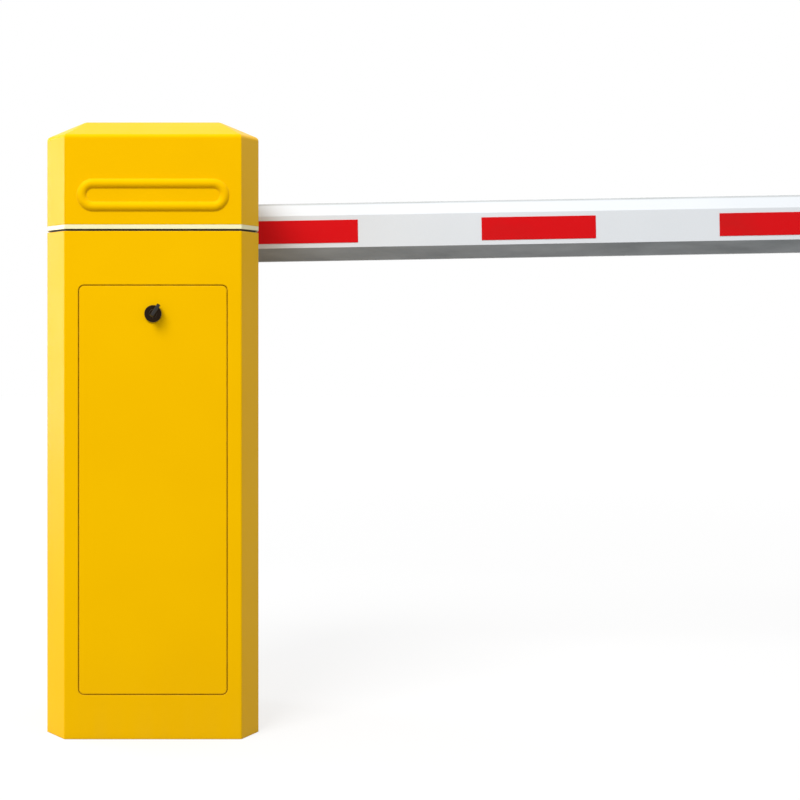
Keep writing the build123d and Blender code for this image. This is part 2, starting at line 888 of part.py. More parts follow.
def bearing_plate(y_front, top_radius, foot_side):
    """An upright plate with a foot, its top rounded about the main shaft."""
    half = plate_bottom_width / 2
    shoulder = plate_bottom + plate_shoulder_height
    points = [(-half, plate_bottom), (half, plate_bottom), (half, shoulder),
              (top_radius, shaft_height), (-top_radius, shaft_height), (-half, shoulder)]
    plan = make_face(Polyline(*points, close=True)) + Pos(0, shaft_height) * Circle(top_radius)
    plan -= Pos(0, shaft_height) * Circle(shaft_radius + bush_wall)
    for side in (-1, 1):
        plan -= Pos(side * upper_tie_offset,
                    upper_tie_height) * Circle(tie_radius / 2 + bolt_hole_clearance)
        plan -= Pos(side * lower_tie_offset,
                    lower_tie_height) * Circle(tie_radius / 2 + bolt_hole_clearance)
    for x, z in square_pattern(0, shaft_height, bearing_bolt_offset):
        plan -= Pos(x, z) * Circle(bolt_radius + bolt_hole_clearance)
    plate = across(plan, y_front, y_front + plate_thickness)
    y_foot = (y_front, y_front + plate_thickness + plate_foot)
    if foot_side < 0:
        y_foot = (y_front - plate_foot, y_front + plate_thickness)
    foot = block((-half, half), y_foot, (plate_bottom, plate_bottom + plate_thickness))
    foot -= disc_z(worm_x, gear_y, motor_radius + motor_passage_clearance, plate_bottom,
                   plate_bottom + plate_thickness)
    for x, y in foot_bolt_places():
        foot -= disc_z(x, y, bolt_radius + bolt_hole_clearance, plate_bottom,
                       plate_bottom + plate_thickness)
    return plate + foot


def stop_block():
    """A wedge below the shaft whose two sides face the rocker's arms at the ends of its travel."""
    offset_from_arm = arm_half_width + stop_gap + stop_thickness
    slope = math.radians(boom_travel / 2)
    apex = offset_from_arm / math.cos(slope)
    side = -apex - stop_block_half_width * math.tan(slope)
    points = [(0, -apex), (stop_block_half_width, side), (stop_block_half_width, -stop_block_bottom),
              (-stop_block_half_width, -stop_block_bottom), (-stop_block_half_width, side)]
    plan = Pos(0, shaft_height) * make_face(Polyline(*points, close=True))
    return across(plan, front_plate_y - stop_block_width, front_plate_y)


def stop_buffers():
    """Two rubber buffers on the wedge."""
    buffers = []
    y_middle = front_plate_y - stop_block_width + stop_radius
    for side in (-1, 1):
        cylinder = Pos(0, 0, -stop_thickness / 2) * Cylinder(stop_radius, stop_thickness)
        cylinder = Pos(stop_distance, y_middle, -arm_half_width - stop_gap) * cylinder
        placed = Pos(0, 0, shaft_height) * Rot(0, boom_travel / 2, 0) * cylinder
        buffers.append(placed if side > 0 else mirror(placed, Plane.YZ))
    return group(buffers)


def gearbox_bolt_places():
    right = housing_right - housing_margin / 2
    left = housing_left + housing_margin / 2
    return [(x, output_height + side * gearbox_bolt_offset) for x in (left, right) for side in (-1, 1)]


def chassis_front_plate():
    plate = bearing_plate(front_plate_y, front_plate_top_radius, 1)
    plate -= disc_y(0, output_height, crank_hub_radius - arm_thickness / 2, front_plate_y, housing_front)
    for x, z in gearbox_bolt_places():
        plate -= disc_y(x, z, bolt_radius + bolt_hole_clearance, front_plate_y, housing_front)
    return plate + stop_block()


def chassis_rear_plate():
    plate = bearing_plate(rear_plate_y, rear_plate_top_radius, -1)
    window = Pos(0, output_height) * RectangleRounded(rear_window_width, rear_window_height,
                                                      plate_thickness)
    return plate - across(window, rear_plate_y, chassis_back)


def chassis_tie_bars():
    bars = []
    for side in (-1, 1):
        for offset_x, height in ((upper_tie_offset, upper_tie_height),
                                 (lower_tie_offset, lower_tie_height)):
            x = side * offset_x
            bar = disc_y(x, height, tie_radius, housing_front, rear_plate_y)
            bar += disc_y(x, height, tie_radius / 2, front_plate_y - pin_head_thickness,
                          chassis_back + pin_head_thickness)
            bars.append(bar)
    return group(bars)


def flange_bearing(y_flange, direction):
    """A square flange bearing; its boss points along direction from the plate face at y_flange."""
    y_plate = sorted((y_flange, y_flange + direction * bearing_flange_thickness))
    y_boss = sorted((y_flange, y_flange + direction * bearing_length))
    plan = RectangleRounded(bearing_flange, bearing_flange, bearing_corner_radius)
    for x, z in square_pattern(0, 0, bearing_bolt_offset):
        plan -= Pos(x, z) * Circle(bolt_radius + bolt_hole_clearance)
    housing = across(Pos(0, shaft_height) * plan, *y_plate)
    housing += disc_y(0, shaft_height, bearing_boss_radius, *y_boss)
    return housing - disc_y(0, shaft_height, shaft_radius + bush_wall, *y_boss)


def flange_bearings():
    return group([flange_bearing(housing_front, 1), flange_bearing(rear_plate_y, -1)])


def bearing_bushes():
    bushes = []
    ring = Circle(shaft_radius + bush_wall - press_clearance) - Circle(shaft_radius + turning_clearance)
    for y_flange, direction in ((housing_front, 1), (rear_plate_y, -1)):
        y_span = sorted((y_flange - direction * plate_thickness, y_flange + direction * bearing_length))
        bushes.append(across(Pos(0, shaft_height) * ring, *y_span))
    return group(bushes)


def hex_bolts():
    """All the chassis bolts: rails, feet, bearings, gearbox and motor."""
    bolt = (bolt_length, bolt_radius, bolt_head_radius, bolt_head_thickness)
    bolts = []
    for x, y in rail_bolt_places():
        bolts += bolt_z(x, y, plate_bottom, -1, *bolt, chassis_height - rail_wall)
    for x, y in foot_bolt_places():
        bolts += bolt_z(x, y, plate_bottom + plate_thickness, -1, *bolt, chassis_height)
    for x, z in square_pattern(0, shaft_height, bearing_bolt_offset):
        bolts += bolt_y(x, z, front_plate_y, 1, *bolt, housing_front + bearing_flange_thickness)
        bolts += bolt_y(x, z, chassis_back, -1, *bolt, rear_plate_y - bearing_flange_thickness)
    for x, z in gearbox_bolt_places():
        bolts += bolt_y(x, z, front_plate_y, 1, *bolt)
        bolts += bolt_y(x, z, housing_back + gearbox_cover_thickness, -1, *bolt)
    for x, y in motor_bolt_places():
        bolts += bolt_z(x, y, motor_top, 1, *bolt)
    return group(bolts)


# Gearbox.


def gearbox_housing():
    plan = block((housing_left, housing_right), (housing_front, housing_back),
                 (housing_bottom, housing_top))
    housing = fillet(plan.edges().filter_by(Axis.Y), housing_edge_radius)
    chamber_half = wheel_face / 2 + sheet
    housing -= disc_y(0, output_height, wheel_chamber_radius, gear_y - chamber_half, housing_back)
    chamber_rise = wheel_pitch_radius + sheet
    housing -= disc_z(worm_x, gear_y, worm_chamber_radius, output_height - chamber_rise,
                      output_height + chamber_rise)
    housing -= disc_y(0, output_height, output_shaft_radius + turning_clearance, housing_front, gear_y)
    housing -= disc_z(worm_x, gear_y, worm_shaft_radius + turning_clearance, housing_bottom, housing_top)
    for x, z in gearbox_bolt_places():
        tapped = bolt_radius + press_clearance
        housing -= disc_y(x, z, tapped, housing_front, housing_front + bolt_length)
        housing -= disc_y(x, z, tapped, housing_back - bolt_length, housing_back)
    for x, y in motor_bolt_places():
        tip = motor_top + bolt_length
        housing -= disc_z(x, y, bolt_radius + press_clearance, housing_bottom, tip)
    return housing


def gearbox_cover():
    plate = block((housing_left, housing_right), (housing_back, housing_back + gearbox_cover_thickness),
                  (housing_bottom, housing_top))
    plate = fillet(plate.edges().filter_by(Axis.Y), housing_edge_radius)
    plate += disc_y(0, output_height, output_shaft_radius + bush_wall + sheet,
                    housing_back - cover_spigot_depth,
                    housing_back)
    plate += disc_y(0, output_height, wheel_chamber_radius - weld_gap, housing_back - sheet, housing_back)
    plate -= disc_y(0, output_height, output_shaft_radius + turning_clearance,
                    housing_back - cover_spigot_depth,
                    housing_back + sheet)
    for x, z in gearbox_bolt_places():
        plate -= disc_y(x, z, bolt_radius + bolt_hole_clearance, housing_back,
                        housing_back + gearbox_cover_thickness)
    return plate


def worm_thread():
    """One start of a right-handed thread about Z, centred on the output shaft's height."""
    lead = math.pi * gear_module
    length = lead * worm_turns
    slope = math.tan(math.radians(pressure_angle))
    half_pitch_width = (lead / 2 - gear_backlash / 2) / 2
    root = worm_root_radius - weld_gap
    tip = worm_pitch_radius + addendum_factor * gear_module
    half_root = half_pitch_width + (worm_pitch_radius - root) * slope
    half_tip = half_pitch_width - (tip - worm_pitch_radius) * slope
    tooth = Polyline((root, -half_root), (tip, -half_tip), (tip, half_tip), (root, half_root), close=True)
    section = Plane((0, 0, 0), x_dir=(1, 0, 0), z_dir=(0, -1, 0)) * make_face(tooth)
    helix = Helix(pitch=lead, height=length, radius=worm_pitch_radius)
    return Pos(0, 0, -length / 2) * sweep(section, path=helix, is_frenet=True)


def worm_shaft():
    lead = math.pi * gear_module
    core_half = lead * worm_turns / 2 + lead
    core = Cylinder(worm_root_radius, 2 * core_half)
    worm = Pos(worm_x, gear_y, output_height) * (core + worm_thread())
    handwheel_z = housing_top + handwheel_above_housing
    worm += disc_z(worm_x, gear_y, worm_shaft_radius, motor_bottom + motor_end_wall,
                   handwheel_z + handwheel_rim)
    return worm


def worm_wheel():
    """A helical wheel that meshes with the worm, cut by straight-sided teeth."""
    slope = math.tan(math.radians(pressure_angle))
    half_width = (math.pi * gear_module / 2 - gear_backlash / 2) / 2
    root = wheel_pitch_radius - dedendum_factor * gear_module
    tip = wheel_pitch_radius + addendum_factor * gear_module
    corners = [(root, -1), (tip, -1), (tip, 1), (root, 1)]
    rim = []
    for tooth in range(wheel_teeth):
        middle = 2 * math.pi * (tooth + 0.5) / wheel_teeth
        for radius, side in corners:
            width = half_width - (radius - wheel_pitch_radius) * slope
            turn = middle + side * width / radius
            rim.append((radius * math.cos(turn), radius * math.sin(turn)))
    profile = make_face(Polyline(*rim, close=True)) - Circle(output_shaft_radius + press_clearance)
    lead_angle = math.atan(gear_module / (2 * worm_pitch_radius))
    twist = math.degrees(wheel_face * math.tan(lead_angle) / wheel_pitch_radius)
    wheel = Solid.extrude_linear_with_rotation(profile.face(), center=(0, 0, 0),
                                               normal=(0, 0, wheel_face), angle=twist)
    wheel = Rot(-90, 0, 0) * Pos(0, 0, -wheel_face / 2) * Rot(0, 0, -twist / 2) * wheel
    return Pos(0, gear_y, output_height) * Rot(0, 180, 0) * wheel


def output_shaft():
    return disc_y(0, output_height, output_shaft_radius, arm_front, housing_back + sheet)


def handwheel():
    z = housing_top + handwheel_above_housing
    rim_centre = handwheel_radius - handwheel_rim
    rim = upright(Circle(handwheel_radius) - Circle(rim_centre - handwheel_rim), -handwheel_rim,
                  handwheel_rim)
    rim = fillet(rim.edges().filter_by(GeomType.CIRCLE), handwheel_rim / 2)
    wheel = rim + Cylinder(handwheel_hub_radius, 2 * handwheel_rim)
    for angle in (0, 120, 240):
        spoke = block((0, rim_centre), (-handwheel_rim / 2, handwheel_rim / 2),
                      (-handwheel_rim / 2, handwheel_rim / 2))
        wheel += Rot(0, 0, angle) * spoke
    wheel -= Cylinder(worm_shaft_radius + press_clearance, 4 * handwheel_rim)
    return Pos(worm_x, gear_y, z) * wheel


# Motor.


def motor_bolt_places():
    return [(worm_x + side * motor_bolt_offset_x, gear_y + end * motor_bolt_offset_y)
            for side in (-1, 1) for end in (-1, 1)]


def motor_housing():
    flange_plan = Pos(worm_x, gear_y) * RectangleRounded(motor_flange_width, motor_flange_depth,
                                                         housing_edge_radius)
    housing = upright(flange_plan, motor_top, housing_bottom)
    housing += disc_z(worm_x, gear_y, motor_neck_radius, motor_body_top, motor_top)
    body = disc_z(worm_x, gear_y, motor_radius, motor_bottom, motor_body_top)
    body = chamfer(body.edges().filter_by(GeomType.CIRCLE), motor_edge_chamfer)
    for number in range(motor_fins):
        groove = block((motor_radius - fin_depth, motor_radius + fin_depth),
                       (-fin_width / 2, fin_width / 2),
                       (motor_bottom + motor_end_wall, motor_body_top - motor_end_wall))
        body -= Pos(worm_x, gear_y, 0) * Rot(0, 0, 360 * (number + 0.5) / motor_fins) * groove
    housing += body
    housing -= disc_z(worm_x, gear_y, motor_radius - motor_wall, motor_bottom + motor_end_wall,
                      motor_body_top - motor_end_wall)
    housing -= disc_z(worm_x, gear_y, worm_shaft_radius + turning_clearance,
                      motor_bottom + motor_end_wall, housing_bottom)
    for x, y in motor_bolt_places():
        housing -= disc_z(x, y, bolt_radius + bolt_hole_clearance, motor_top, housing_bottom)
    return housing


def motor_rotor():
    radius = motor_radius - motor_wall - rotor_gap
    plan = Pos(worm_x, gear_y) * (Circle(radius) - Circle(worm_shaft_radius + press_clearance))
    return upright(plan, motor_bottom + 2 * motor_end_wall, motor_body_top - 2 * motor_end_wall)


def motor_terminal_box():
    y_front = gear_y - motor_radius - terminal_box_depth
    z_middle = (motor_bottom + motor_body_top) / 2
    box = block((worm_x - terminal_box_width / 2, worm_x + terminal_box_width / 2),
                (y_front, gear_y - motor_radius / 2),
                (z_middle - terminal_box_height / 2, z_middle + terminal_box_height / 2))
    box = fillet(box.edges().filter_by(Axis.Y), bend_radius)
    return box - disc_z(worm_x, gear_y, motor_radius + weld_gap, motor_bottom, motor_body_top)


# Linkage.


def lever(x, z, hub_radius, bore_radius, arms):
    """A flat lever: a hub with arms, each given by its radius and angle."""
    plan = Pos(x, z) * Circle(hub_radius)
    for radius, angle in arms:
        bar = Pos(radius / 2, 0) * Rectangle(radius, 2 * arm_half_width)
        plan += Pos(x, z) * Rot(0, 0, angle) * bar
        plan += Pos(*polar(radius, angle, x, z)) * Circle(eye_radius)
    plan -= Pos(x, z) * Circle(bore_radius)
    for radius, angle in arms:
        plan -= Pos(*polar(radius, angle, x, z)) * Circle(pin_radius + press_clearance)
    return across(plan, arm_front, arm_back)


def pin(x, z):
    """A pin through an eye and an arm, with its head in front and a nut behind."""
    shank = disc_y(x, z, pin_radius, eye_front - seat_gap, arm_back + pin_nut_thickness)
    head = disc_y(x, z, pin_head_radius, eye_front - seat_gap - pin_head_thickness, eye_front - seat_gap)
    nut_plan = Pos(x, z) * (RegularPolygon(pin_head_radius + sheet,
                                           6) - Circle(pin_radius + press_clearance))
    nut = across(nut_plan, arm_back, arm_back + pin_nut_thickness)
    return [shank + head, nut]


rod_pin = polar(crank_radius, crank_angle, 0, shaft_height)
crank_pin_place = polar(crank_radius, crank_angle, 0, output_height)
spring_pin = polar(spring_arm_radius, spring_arm_angle, 0, shaft_height)


def rocker():
    arms = [(crank_radius, crank_angle), (spring_arm_radius, spring_arm_angle)]
    body = lever(0, shaft_height, rocker_hub_radius, shaft_radius + press_clearance, arms)
    return body - key_slot(arm_front, arm_back, press_clearance)


def rocker_pins():
    return group(pin(*rod_pin) + pin(*spring_pin))


def crank_arm():
    return lever(0, output_height, crank_hub_radius, output_shaft_radius + press_clearance,
                 [(crank_radius, crank_angle)])


def crank_pin():
    return group(pin(*crank_pin_place))


def rod_end(x, z, direction):
    """An eye with a threaded shank that points along direction."""
    eye = disc_y(x, z, eye_radius, eye_front, eye_back)
    z_span = sorted((z, z + direction * (rod_end_neck + rod_thread_depth)))
    eye += disc_z(x, eye_middle, rod_end_shank_radius, *z_span)
    nut_span = sorted((z + direction * (rod_end_neck - pin_nut_thickness), z + direction * rod_end_neck))
    eye += upright(Pos(x, eye_middle) * RegularPolygon(rod_radius, 6), *nut_span)
    return eye - disc_y(x, z, pin_radius + pin_clearance, eye_front, eye_back)


def rod_ends():
    return group([rod_end(*rod_pin, -1), rod_end(*crank_pin_place, 1)])


def con_rod():
    x, z_bottom = crank_pin_place
    z_top = rod_pin[1]
    rod = disc_z(x, eye_middle, rod_radius, z_bottom + rod_end_neck, z_top - rod_end_neck)
    bore = rod_end_shank_radius + press_clearance
    rod -= disc_z(x, eye_middle, bore, z_bottom + rod_end_neck,
                  z_bottom + rod_end_neck + rod_thread_depth)
    rod -= disc_z(x, eye_middle, bore, z_top - rod_end_neck - rod_thread_depth, z_top - rod_end_neck)
    return rod


# Balance spring.


def spring_hanger():
    x, z = spring_pin
    link = Pos(x, z - hanger_length / 2) * Rot(0, 0, 90) * SlotCenterToCenter(hanger_length,
                                                                              2 * eye_radius)
    link -= Pos(x, z) * Circle(pin_radius + pin_clearance)
    link -= Pos(x, z - hanger_length) * Circle(hanger_hole_radius)
    return across(link, eye_front, eye_back)


def balance_spring():
    """The coil's outer shape with its two hooked ends."""
    x, z = spring_pin
    top = z - hanger_length - eye_radius - seat_gap
    ring = Circle(spring_radius) - Circle(spring_radius - spring_wire)
    coil = upright(Pos(x, eye_middle) * ring, spring_bottom, top)
    end = Circle(spring_radius)
    coil += upright(Pos(x, eye_middle) * end, spring_bottom, spring_bottom + spring_wire)
    coil += upright(Pos(x, eye_middle) * end, top - spring_wire, top)
    return coil


def spring_anchor():
    """A welded bracket on the front plate that takes the spring's eye bolt."""
    x = spring_pin[0]
    x_span = (x - anchor_width / 2, x + anchor_width / 2)
    bracket = block(x_span, (front_plate_y - anchor_thickness, front_plate_y),
                    (anchor_top - anchor_height, anchor_top))
    y_front = front_plate_y - anchor_reach
    bracket += block(x_span, (y_front, front_plate_y), (anchor_top - anchor_thickness, anchor_top))
    return bracket - disc_z(x, eye_middle, eye_bolt_radius + bolt_hole_clearance,
                            anchor_top - anchor_thickness, anchor_top)


def spring_eye_bolt():
    x = spring_pin[0]
    ring = Pos(x, eye_middle, eye_bolt_centre_height) * Rot(90, 0, 0) * Torus(eye_bolt_ring_radius,
                                                                              eye_bolt_ring_wire)
    shank = disc_z(x, eye_middle, eye_bolt_radius, anchor_top - anchor_thickness - eye_bolt_tail,
                   eye_bolt_centre_height - eye_bolt_ring_radius)
    bolt = ring + shank
    nut_plan = Pos(x,
                   eye_middle) * (RegularPolygon(rod_radius,
                                                 6) - Circle(eye_bolt_radius + press_clearance))
    below = upright(nut_plan, anchor_top - anchor_thickness - bolt_head_thickness,
                    anchor_top - anchor_thickness)
    above = upright(nut_plan, anchor_top, anchor_top + bolt_head_thickness)
    return group([bolt, below, above])


# Sensors.


sensor_angles = (90.0 - boom_travel / 2, 90.0 + boom_travel / 2)


def cam_disc():
    """A disc with one lobe that passes from one sensor to the other."""
    disc = disc_y(0, shaft_height, cam_disc_radius, cam_y - cam_disc_thickness / 2,
                  cam_y + cam_disc_thickness / 2)
    half = math.radians(cam_lobe_angle / 2)
    reach = 2 * cam_lobe_radius
    sector = make_face(Polyline((0, 0), (reach * math.cos(half), -reach * math.sin(half)),
                                (reach * math.cos(half), reach * math.sin(half)), close=True))
    lobe = Pos(0, shaft_height) * Rot(0, 0, sensor_angles[0]) * (sector & Circle(cam_lobe_radius))
    disc += across(lobe, cam_y - cam_disc_thickness / 2, cam_y + cam_disc_thickness / 2)
    disc += disc_y(0, shaft_height, cam_hub_radius, cam_y - cam_hub_thickness / 2,
                   cam_y + cam_hub_thickness / 2)
    return disc - disc_y(0, shaft_height, shaft_radius + press_clearance, cam_y - cam_hub_thickness,
                         cam_y + cam_hub_thickness)


def at_sensor(shape, angle):
    """Place a shape that is drawn along +X from the shaft's axis at a sensor's angle."""
    return Pos(0, 0, shaft_height) * Rot(0, -angle, 0) * shape


def bar_x(radius, x_start, x_end):
    """A round bar along X at the cam's depth, through the shaft's axis."""
    plane = Plane((x_start, cam_y, 0), x_dir=(0, 1, 0), z_dir=(1, 0, 0))
    return extrude(plane * Circle(radius), amount=x_end - x_start)


def sensor_brackets():
    brackets = []
    half = sensor_shelf_width / 2
    shelf_end = sensor_shelf_distance + sensor_shelf_thickness
    y_front = cam_y - sensor_shelf_width / 2
    for angle in sensor_angles:
        shelf = block((sensor_shelf_distance, shelf_end), (y_front, rear_plate_y), (-half, half))
        foot = block((sensor_shelf_distance, sensor_shelf_distance + sensor_shelf_foot),
                     (rear_plate_y - sensor_shelf_thickness, rear_plate_y), (-half, half))
        bracket = shelf + foot - bar_x(sensor_radius + bolt_hole_clearance, sensor_shelf_distance,
                                       shelf_end)
        brackets.append(at_sensor(bracket, angle))
    return group(brackets)


def limit_sensors():
    """Two inductive sensors, each held on its shelf by two nuts."""
    parts = []
    start = cam_lobe_radius + sensor_air_gap
    shelf_end = sensor_shelf_distance + sensor_shelf_thickness
    for angle in sensor_angles:
        parts.append(at_sensor(bar_x(sensor_radius, start, start + sensor_length), angle))
        for x_start in (sensor_shelf_distance - sensor_nut_thickness, shelf_end):
            nut = bar_x(sensor_nut_radius, x_start, x_start + sensor_nut_thickness)
            nut -= bar_x(sensor_radius + press_clearance, x_start, x_start + sensor_nut_thickness)
            parts.append(at_sensor(nut, angle))
    return group(parts)


# Control box.


control_back = rear_face - sheet - seat_gap
control_front = control_back - control_depth
control_x = (-control_width / 2, control_width / 2)
control_z = (control_bottom, control_bottom + control_height)


def gland_places():
    first = -gland_spacing * (gland_count - 1) / 2
    return [(first + number * gland_spacing,
             (control_front + control_back) / 2) for number in range(gland_count)]


def control_box():
    box = block(control_x, (control_front, control_back), control_z)
    box = fillet(box.edges().filter_by(Axis.Y), control_corner_radius)
    inner_x = (control_x[0] + control_wall, control_x[1] - control_wall)
    inner_z = (control_z[0] + control_wall, control_z[1] - control_wall)
    box -= block(inner_x, (control_front, control_back - control_wall), inner_z)
    for x, y in gland_places():
        box -= disc_z(x, y, gland_bore_radius + bolt_hole_clearance, control_bottom,
                      control_bottom + control_wall)
    return box


def control_box_lid():
    lid = block(control_x, (control_front - control_lid_thickness, control_front), control_z)
    return fillet(lid.edges().filter_by(Axis.Y), control_corner_radius)


def on_board(x, z_top, y_board, size):
    """A block that stands on the circuit board, from its left and top edges."""
    return block((x, x + size[0]), (y_board - size[1], y_board), (z_top - size[2], z_top))


def control_board():
    """The circuit board on its standoffs, with transformer, capacitor, relays and terminals."""
    z_middle = (control_z[0] + control_z[1]) / 2
    back = control_back - control_wall - board_standoff
    front = back - board_thickness
    board = block((-board_width / 2, board_width / 2), (front, back),
                  (z_middle - board_height / 2, z_middle + board_height / 2))
    pieces = [board]
    for x, z in ((-1, -1), (-1, 1), (1, -1), (1, 1)):
        pieces.append(disc_y(x * (board_width / 2 - board_standoff),
                             z_middle + z * (board_height / 2 - board_standoff),
                             board_standoff / 2, back, back + board_standoff))
    top = z_middle + board_height / 2 - board_margin
    x = -board_width / 2 + board_margin
    pieces.append(on_board(x, top, front, transformer_size))
    x += transformer_size[0] + board_margin + capacitor_radius
    pieces.append(disc_z(x, front - capacitor_radius, capacitor_radius, top - capacitor_height, top))
    x += capacitor_radius + board_margin
    for number in range(relay_count):
        pieces.append(on_board(x + number * relay_pitch, top, front, relay_size))
    terminal_top = z_middle - board_height / 2 + board_margin + terminal_size[2]
    pieces.append(on_board(-terminal_size[0] / 2, terminal_top, front, terminal_size))
    return group(pieces)


def cable_glands():
    glands = []
    for x, y in gland_places():
        top = control_bottom + control_wall + bolt_head_thickness
        gland = disc_z(x, y, gland_bore_radius, control_bottom, top)
        gland += disc_z(x, y, gland_nose_radius, control_bottom - gland_length, control_bottom)
        gland += upright(Pos(x, y) * RegularPolygon(gland_radius, 6), control_bottom - gland_hex_length,
                         control_bottom)
        gland -= disc_z(x, y, gland_bore_radius - gland_wall, control_bottom - gland_length, top)
        glands.append(gland)
    return group(glands)


makers = [
    base_plate, cable_grommet, cabinet_body, door_frame, door_seal, hood_seat_frame, hood_seal,
    support_rails, chassis_base, chassis_front_plate, chassis_rear_plate, chassis_tie_bars, hex_bolts,
    flange_bearings, bearing_bushes, gearbox_housing, gearbox_cover, motor_housing, motor_terminal_box,
    spring_anchor, spring_eye_bolt, balance_spring, stop_buffers, sensor_brackets, limit_sensors,
    control_box, control_box_lid, control_board, cable_glands,
    main_shaft, shaft_keys, rocker, rocker_pins, cam_disc, boom_hub, hub_bolts, clamp_inner_jaw,
    clamp_outer_jaw, clamp_bolts, boom_tube, boom_end_caps, boom_reflectors,
    output_shaft, worm_wheel, crank_arm, crank_pin, con_rod, rod_ends, worm_shaft, motor_rotor,
    handwheel, spring_hanger, hood_shell, hood_trim, door_panel, door_stiffener, lock_body,
    lock_plug, lock_key, lock_cam,
]

os.makedirs("parts", exist_ok=True)
for maker in makers:
    export_step(maker(), f"parts/{maker.__name__}.step")
    print(maker.__name__)
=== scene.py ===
import json
import math

import bmesh
import bpy
from mathutils import Matrix, Vector


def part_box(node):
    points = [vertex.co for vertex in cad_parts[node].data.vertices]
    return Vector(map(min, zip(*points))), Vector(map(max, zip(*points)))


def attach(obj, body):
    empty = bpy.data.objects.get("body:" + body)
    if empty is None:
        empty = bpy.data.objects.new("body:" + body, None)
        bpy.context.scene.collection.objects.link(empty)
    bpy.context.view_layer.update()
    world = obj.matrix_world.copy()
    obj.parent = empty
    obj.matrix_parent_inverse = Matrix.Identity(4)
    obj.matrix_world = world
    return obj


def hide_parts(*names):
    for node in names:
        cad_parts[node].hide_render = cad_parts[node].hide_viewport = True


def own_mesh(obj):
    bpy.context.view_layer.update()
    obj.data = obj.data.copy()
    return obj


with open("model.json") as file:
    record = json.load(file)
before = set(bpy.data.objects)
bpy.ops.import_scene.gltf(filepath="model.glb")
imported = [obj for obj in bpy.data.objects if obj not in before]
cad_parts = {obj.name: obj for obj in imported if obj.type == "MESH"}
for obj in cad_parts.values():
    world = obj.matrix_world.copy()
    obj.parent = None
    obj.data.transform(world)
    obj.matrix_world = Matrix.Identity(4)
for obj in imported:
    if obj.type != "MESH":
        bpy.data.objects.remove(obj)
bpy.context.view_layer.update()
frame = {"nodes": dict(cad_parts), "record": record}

# helpers for nodes and colours

def linearFromHex(code):  # sRGB hex to the linear colour that the nodes want
    channels = [int(code[i:i + 2], 16) / 255 for i in (0, 2, 4)]
    linear = [c / 12.92 if c <= 0.04045 else ((c + 0.055) / 1.055) ** 2.4 for c in channels]
    return (*linear, 1.0)


def addNode(tree, kind, inputs=None, **settings):  # one node with its settings and its links
    node = tree.nodes.new(kind)
    for name, value in settings.items():
        setattr(node, name, value)
    for key, value in (inputs or {}).items():
        if isinstance(value, bpy.types.NodeSocket):
            tree.links.new(value, node.inputs[key])
        else:
            node.inputs[key].default_value = value
    return node


def newMaterial(name):
    material = bpy.data.materials.new(name)
    material.use_nodes = True
    tree = material.node_tree
    place = addNode(tree, "ShaderNodeTexCoord").outputs["Object"]
    return material, tree, tree.nodes["Principled BSDF"], place


def noiseAt(tree, place, sizeMm, detail=3.0, roughness=0.55, stretch=None):
    # blotches about sizeMm across; stretch scales each axis, and below 1 draws them out along it
    if stretch:
        place = addNode(tree, "ShaderNodeMapping", {"Vector": place, "Scale": stretch}).outputs["Vector"]
    noise = addNode(tree, "ShaderNodeTexNoise", {"Vector": place, "Scale": 1000 / sizeMm,
                                                 "Detail": detail, "Roughness": roughness})
    return noise.outputs["Fac"]


def cellsAt(tree, place, sizeMm, output="Distance", randomness=1.0, **settings):
    # a cell pattern, sizeMm from cell to cell; randomness 0 lines the cells up in a grid
    node = addNode(tree, "ShaderNodeTexVoronoi", {"Vector": place, "Scale": 1000 / sizeMm,
                                                  "Randomness": randomness}, **settings)
    return node.outputs[output]


def remap(tree, value, fromLow, fromHigh, toLow, toHigh):
    node = addNode(tree, "ShaderNodeMapRange", {"Value": value, "From Min": fromLow, "From Max": fromHigh,
                                                "To Min": toLow, "To Max": toHigh})
    return node.outputs["Result"]


def mixColours(tree, factor, first, second):
    node = addNode(tree, "ShaderNodeMix", data_type="RGBA")
    for key, value in ((0, factor), (6, first), (7, second)):
        if isinstance(value, bpy.types.NodeSocket):
            tree.links.new(value, node.inputs[key])
        else:
            node.inputs[key].default_value = value
    return node.outputs[2]


def combine(tree, operation, first, second, clamp=False):
    return addNode(tree, "ShaderNodeMath", {0: first, 1: second}, operation=operation,
                   use_clamp=clamp).outputs[0]


def bumpFrom(tree, height, depthMm, normal=None):
    inputs = {"Height": height, "Distance": depthMm / 1000, "Strength": 1.0}
    if normal is not None:
        inputs["Normal"] = normal
    return addNode(tree, "ShaderNodeBump", inputs).outputs["Normal"]


def axisOf(tree, vector, axis):
    return addNode(tree, "ShaderNodeSeparateXYZ", {"Vector": vector}).outputs[axis]


def edgesAt(tree, radiusMm):  # 1 where an edge is sharp, 0 on flat ground, and the softened normal
    soft = addNode(tree, "ShaderNodeBevel", {"Radius": radiusMm / 1000}, samples=4).outputs["Normal"]
    flat = addNode(tree, "ShaderNodeNewGeometry").outputs["Normal"]
    dot = addNode(tree, "ShaderNodeVectorMath", {0: soft, 1: flat}, operation="DOT_PRODUCT").outputs["Value"]
    return remap(tree, dot, 0.98, 0.75, 0.0, 1.0), soft


def undersideShadeAt(tree):  # 1 on faces that look down, 0 on upright and upper ones
    turned = axisOf(tree, addNode(tree, "ShaderNodeTexCoord").outputs["Normal"], "Z")
    return remap(tree, turned, -0.15, -0.4, 0.0, 1.0)


def boomTopAt(tree, place, facts):  # 1 on the boom's top and just over its edges, 0 lower down
    slope = math.radians(facts["pitch"])
    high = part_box("boom_tube")[1]
    top = high[2] * math.cos(slope) - high[0] * math.sin(slope)
    level = addNode(tree, "ShaderNodeMapping", {"Vector": place, "Rotation": (0.0, slope, 0.0)})
    reach = facts["soilAndEdgeBandMm"] / 1000
    return remap(tree, axisOf(tree, level.outputs["Vector"], "Z"), top - reach, top - reach / 3, 0.0, 1.0)


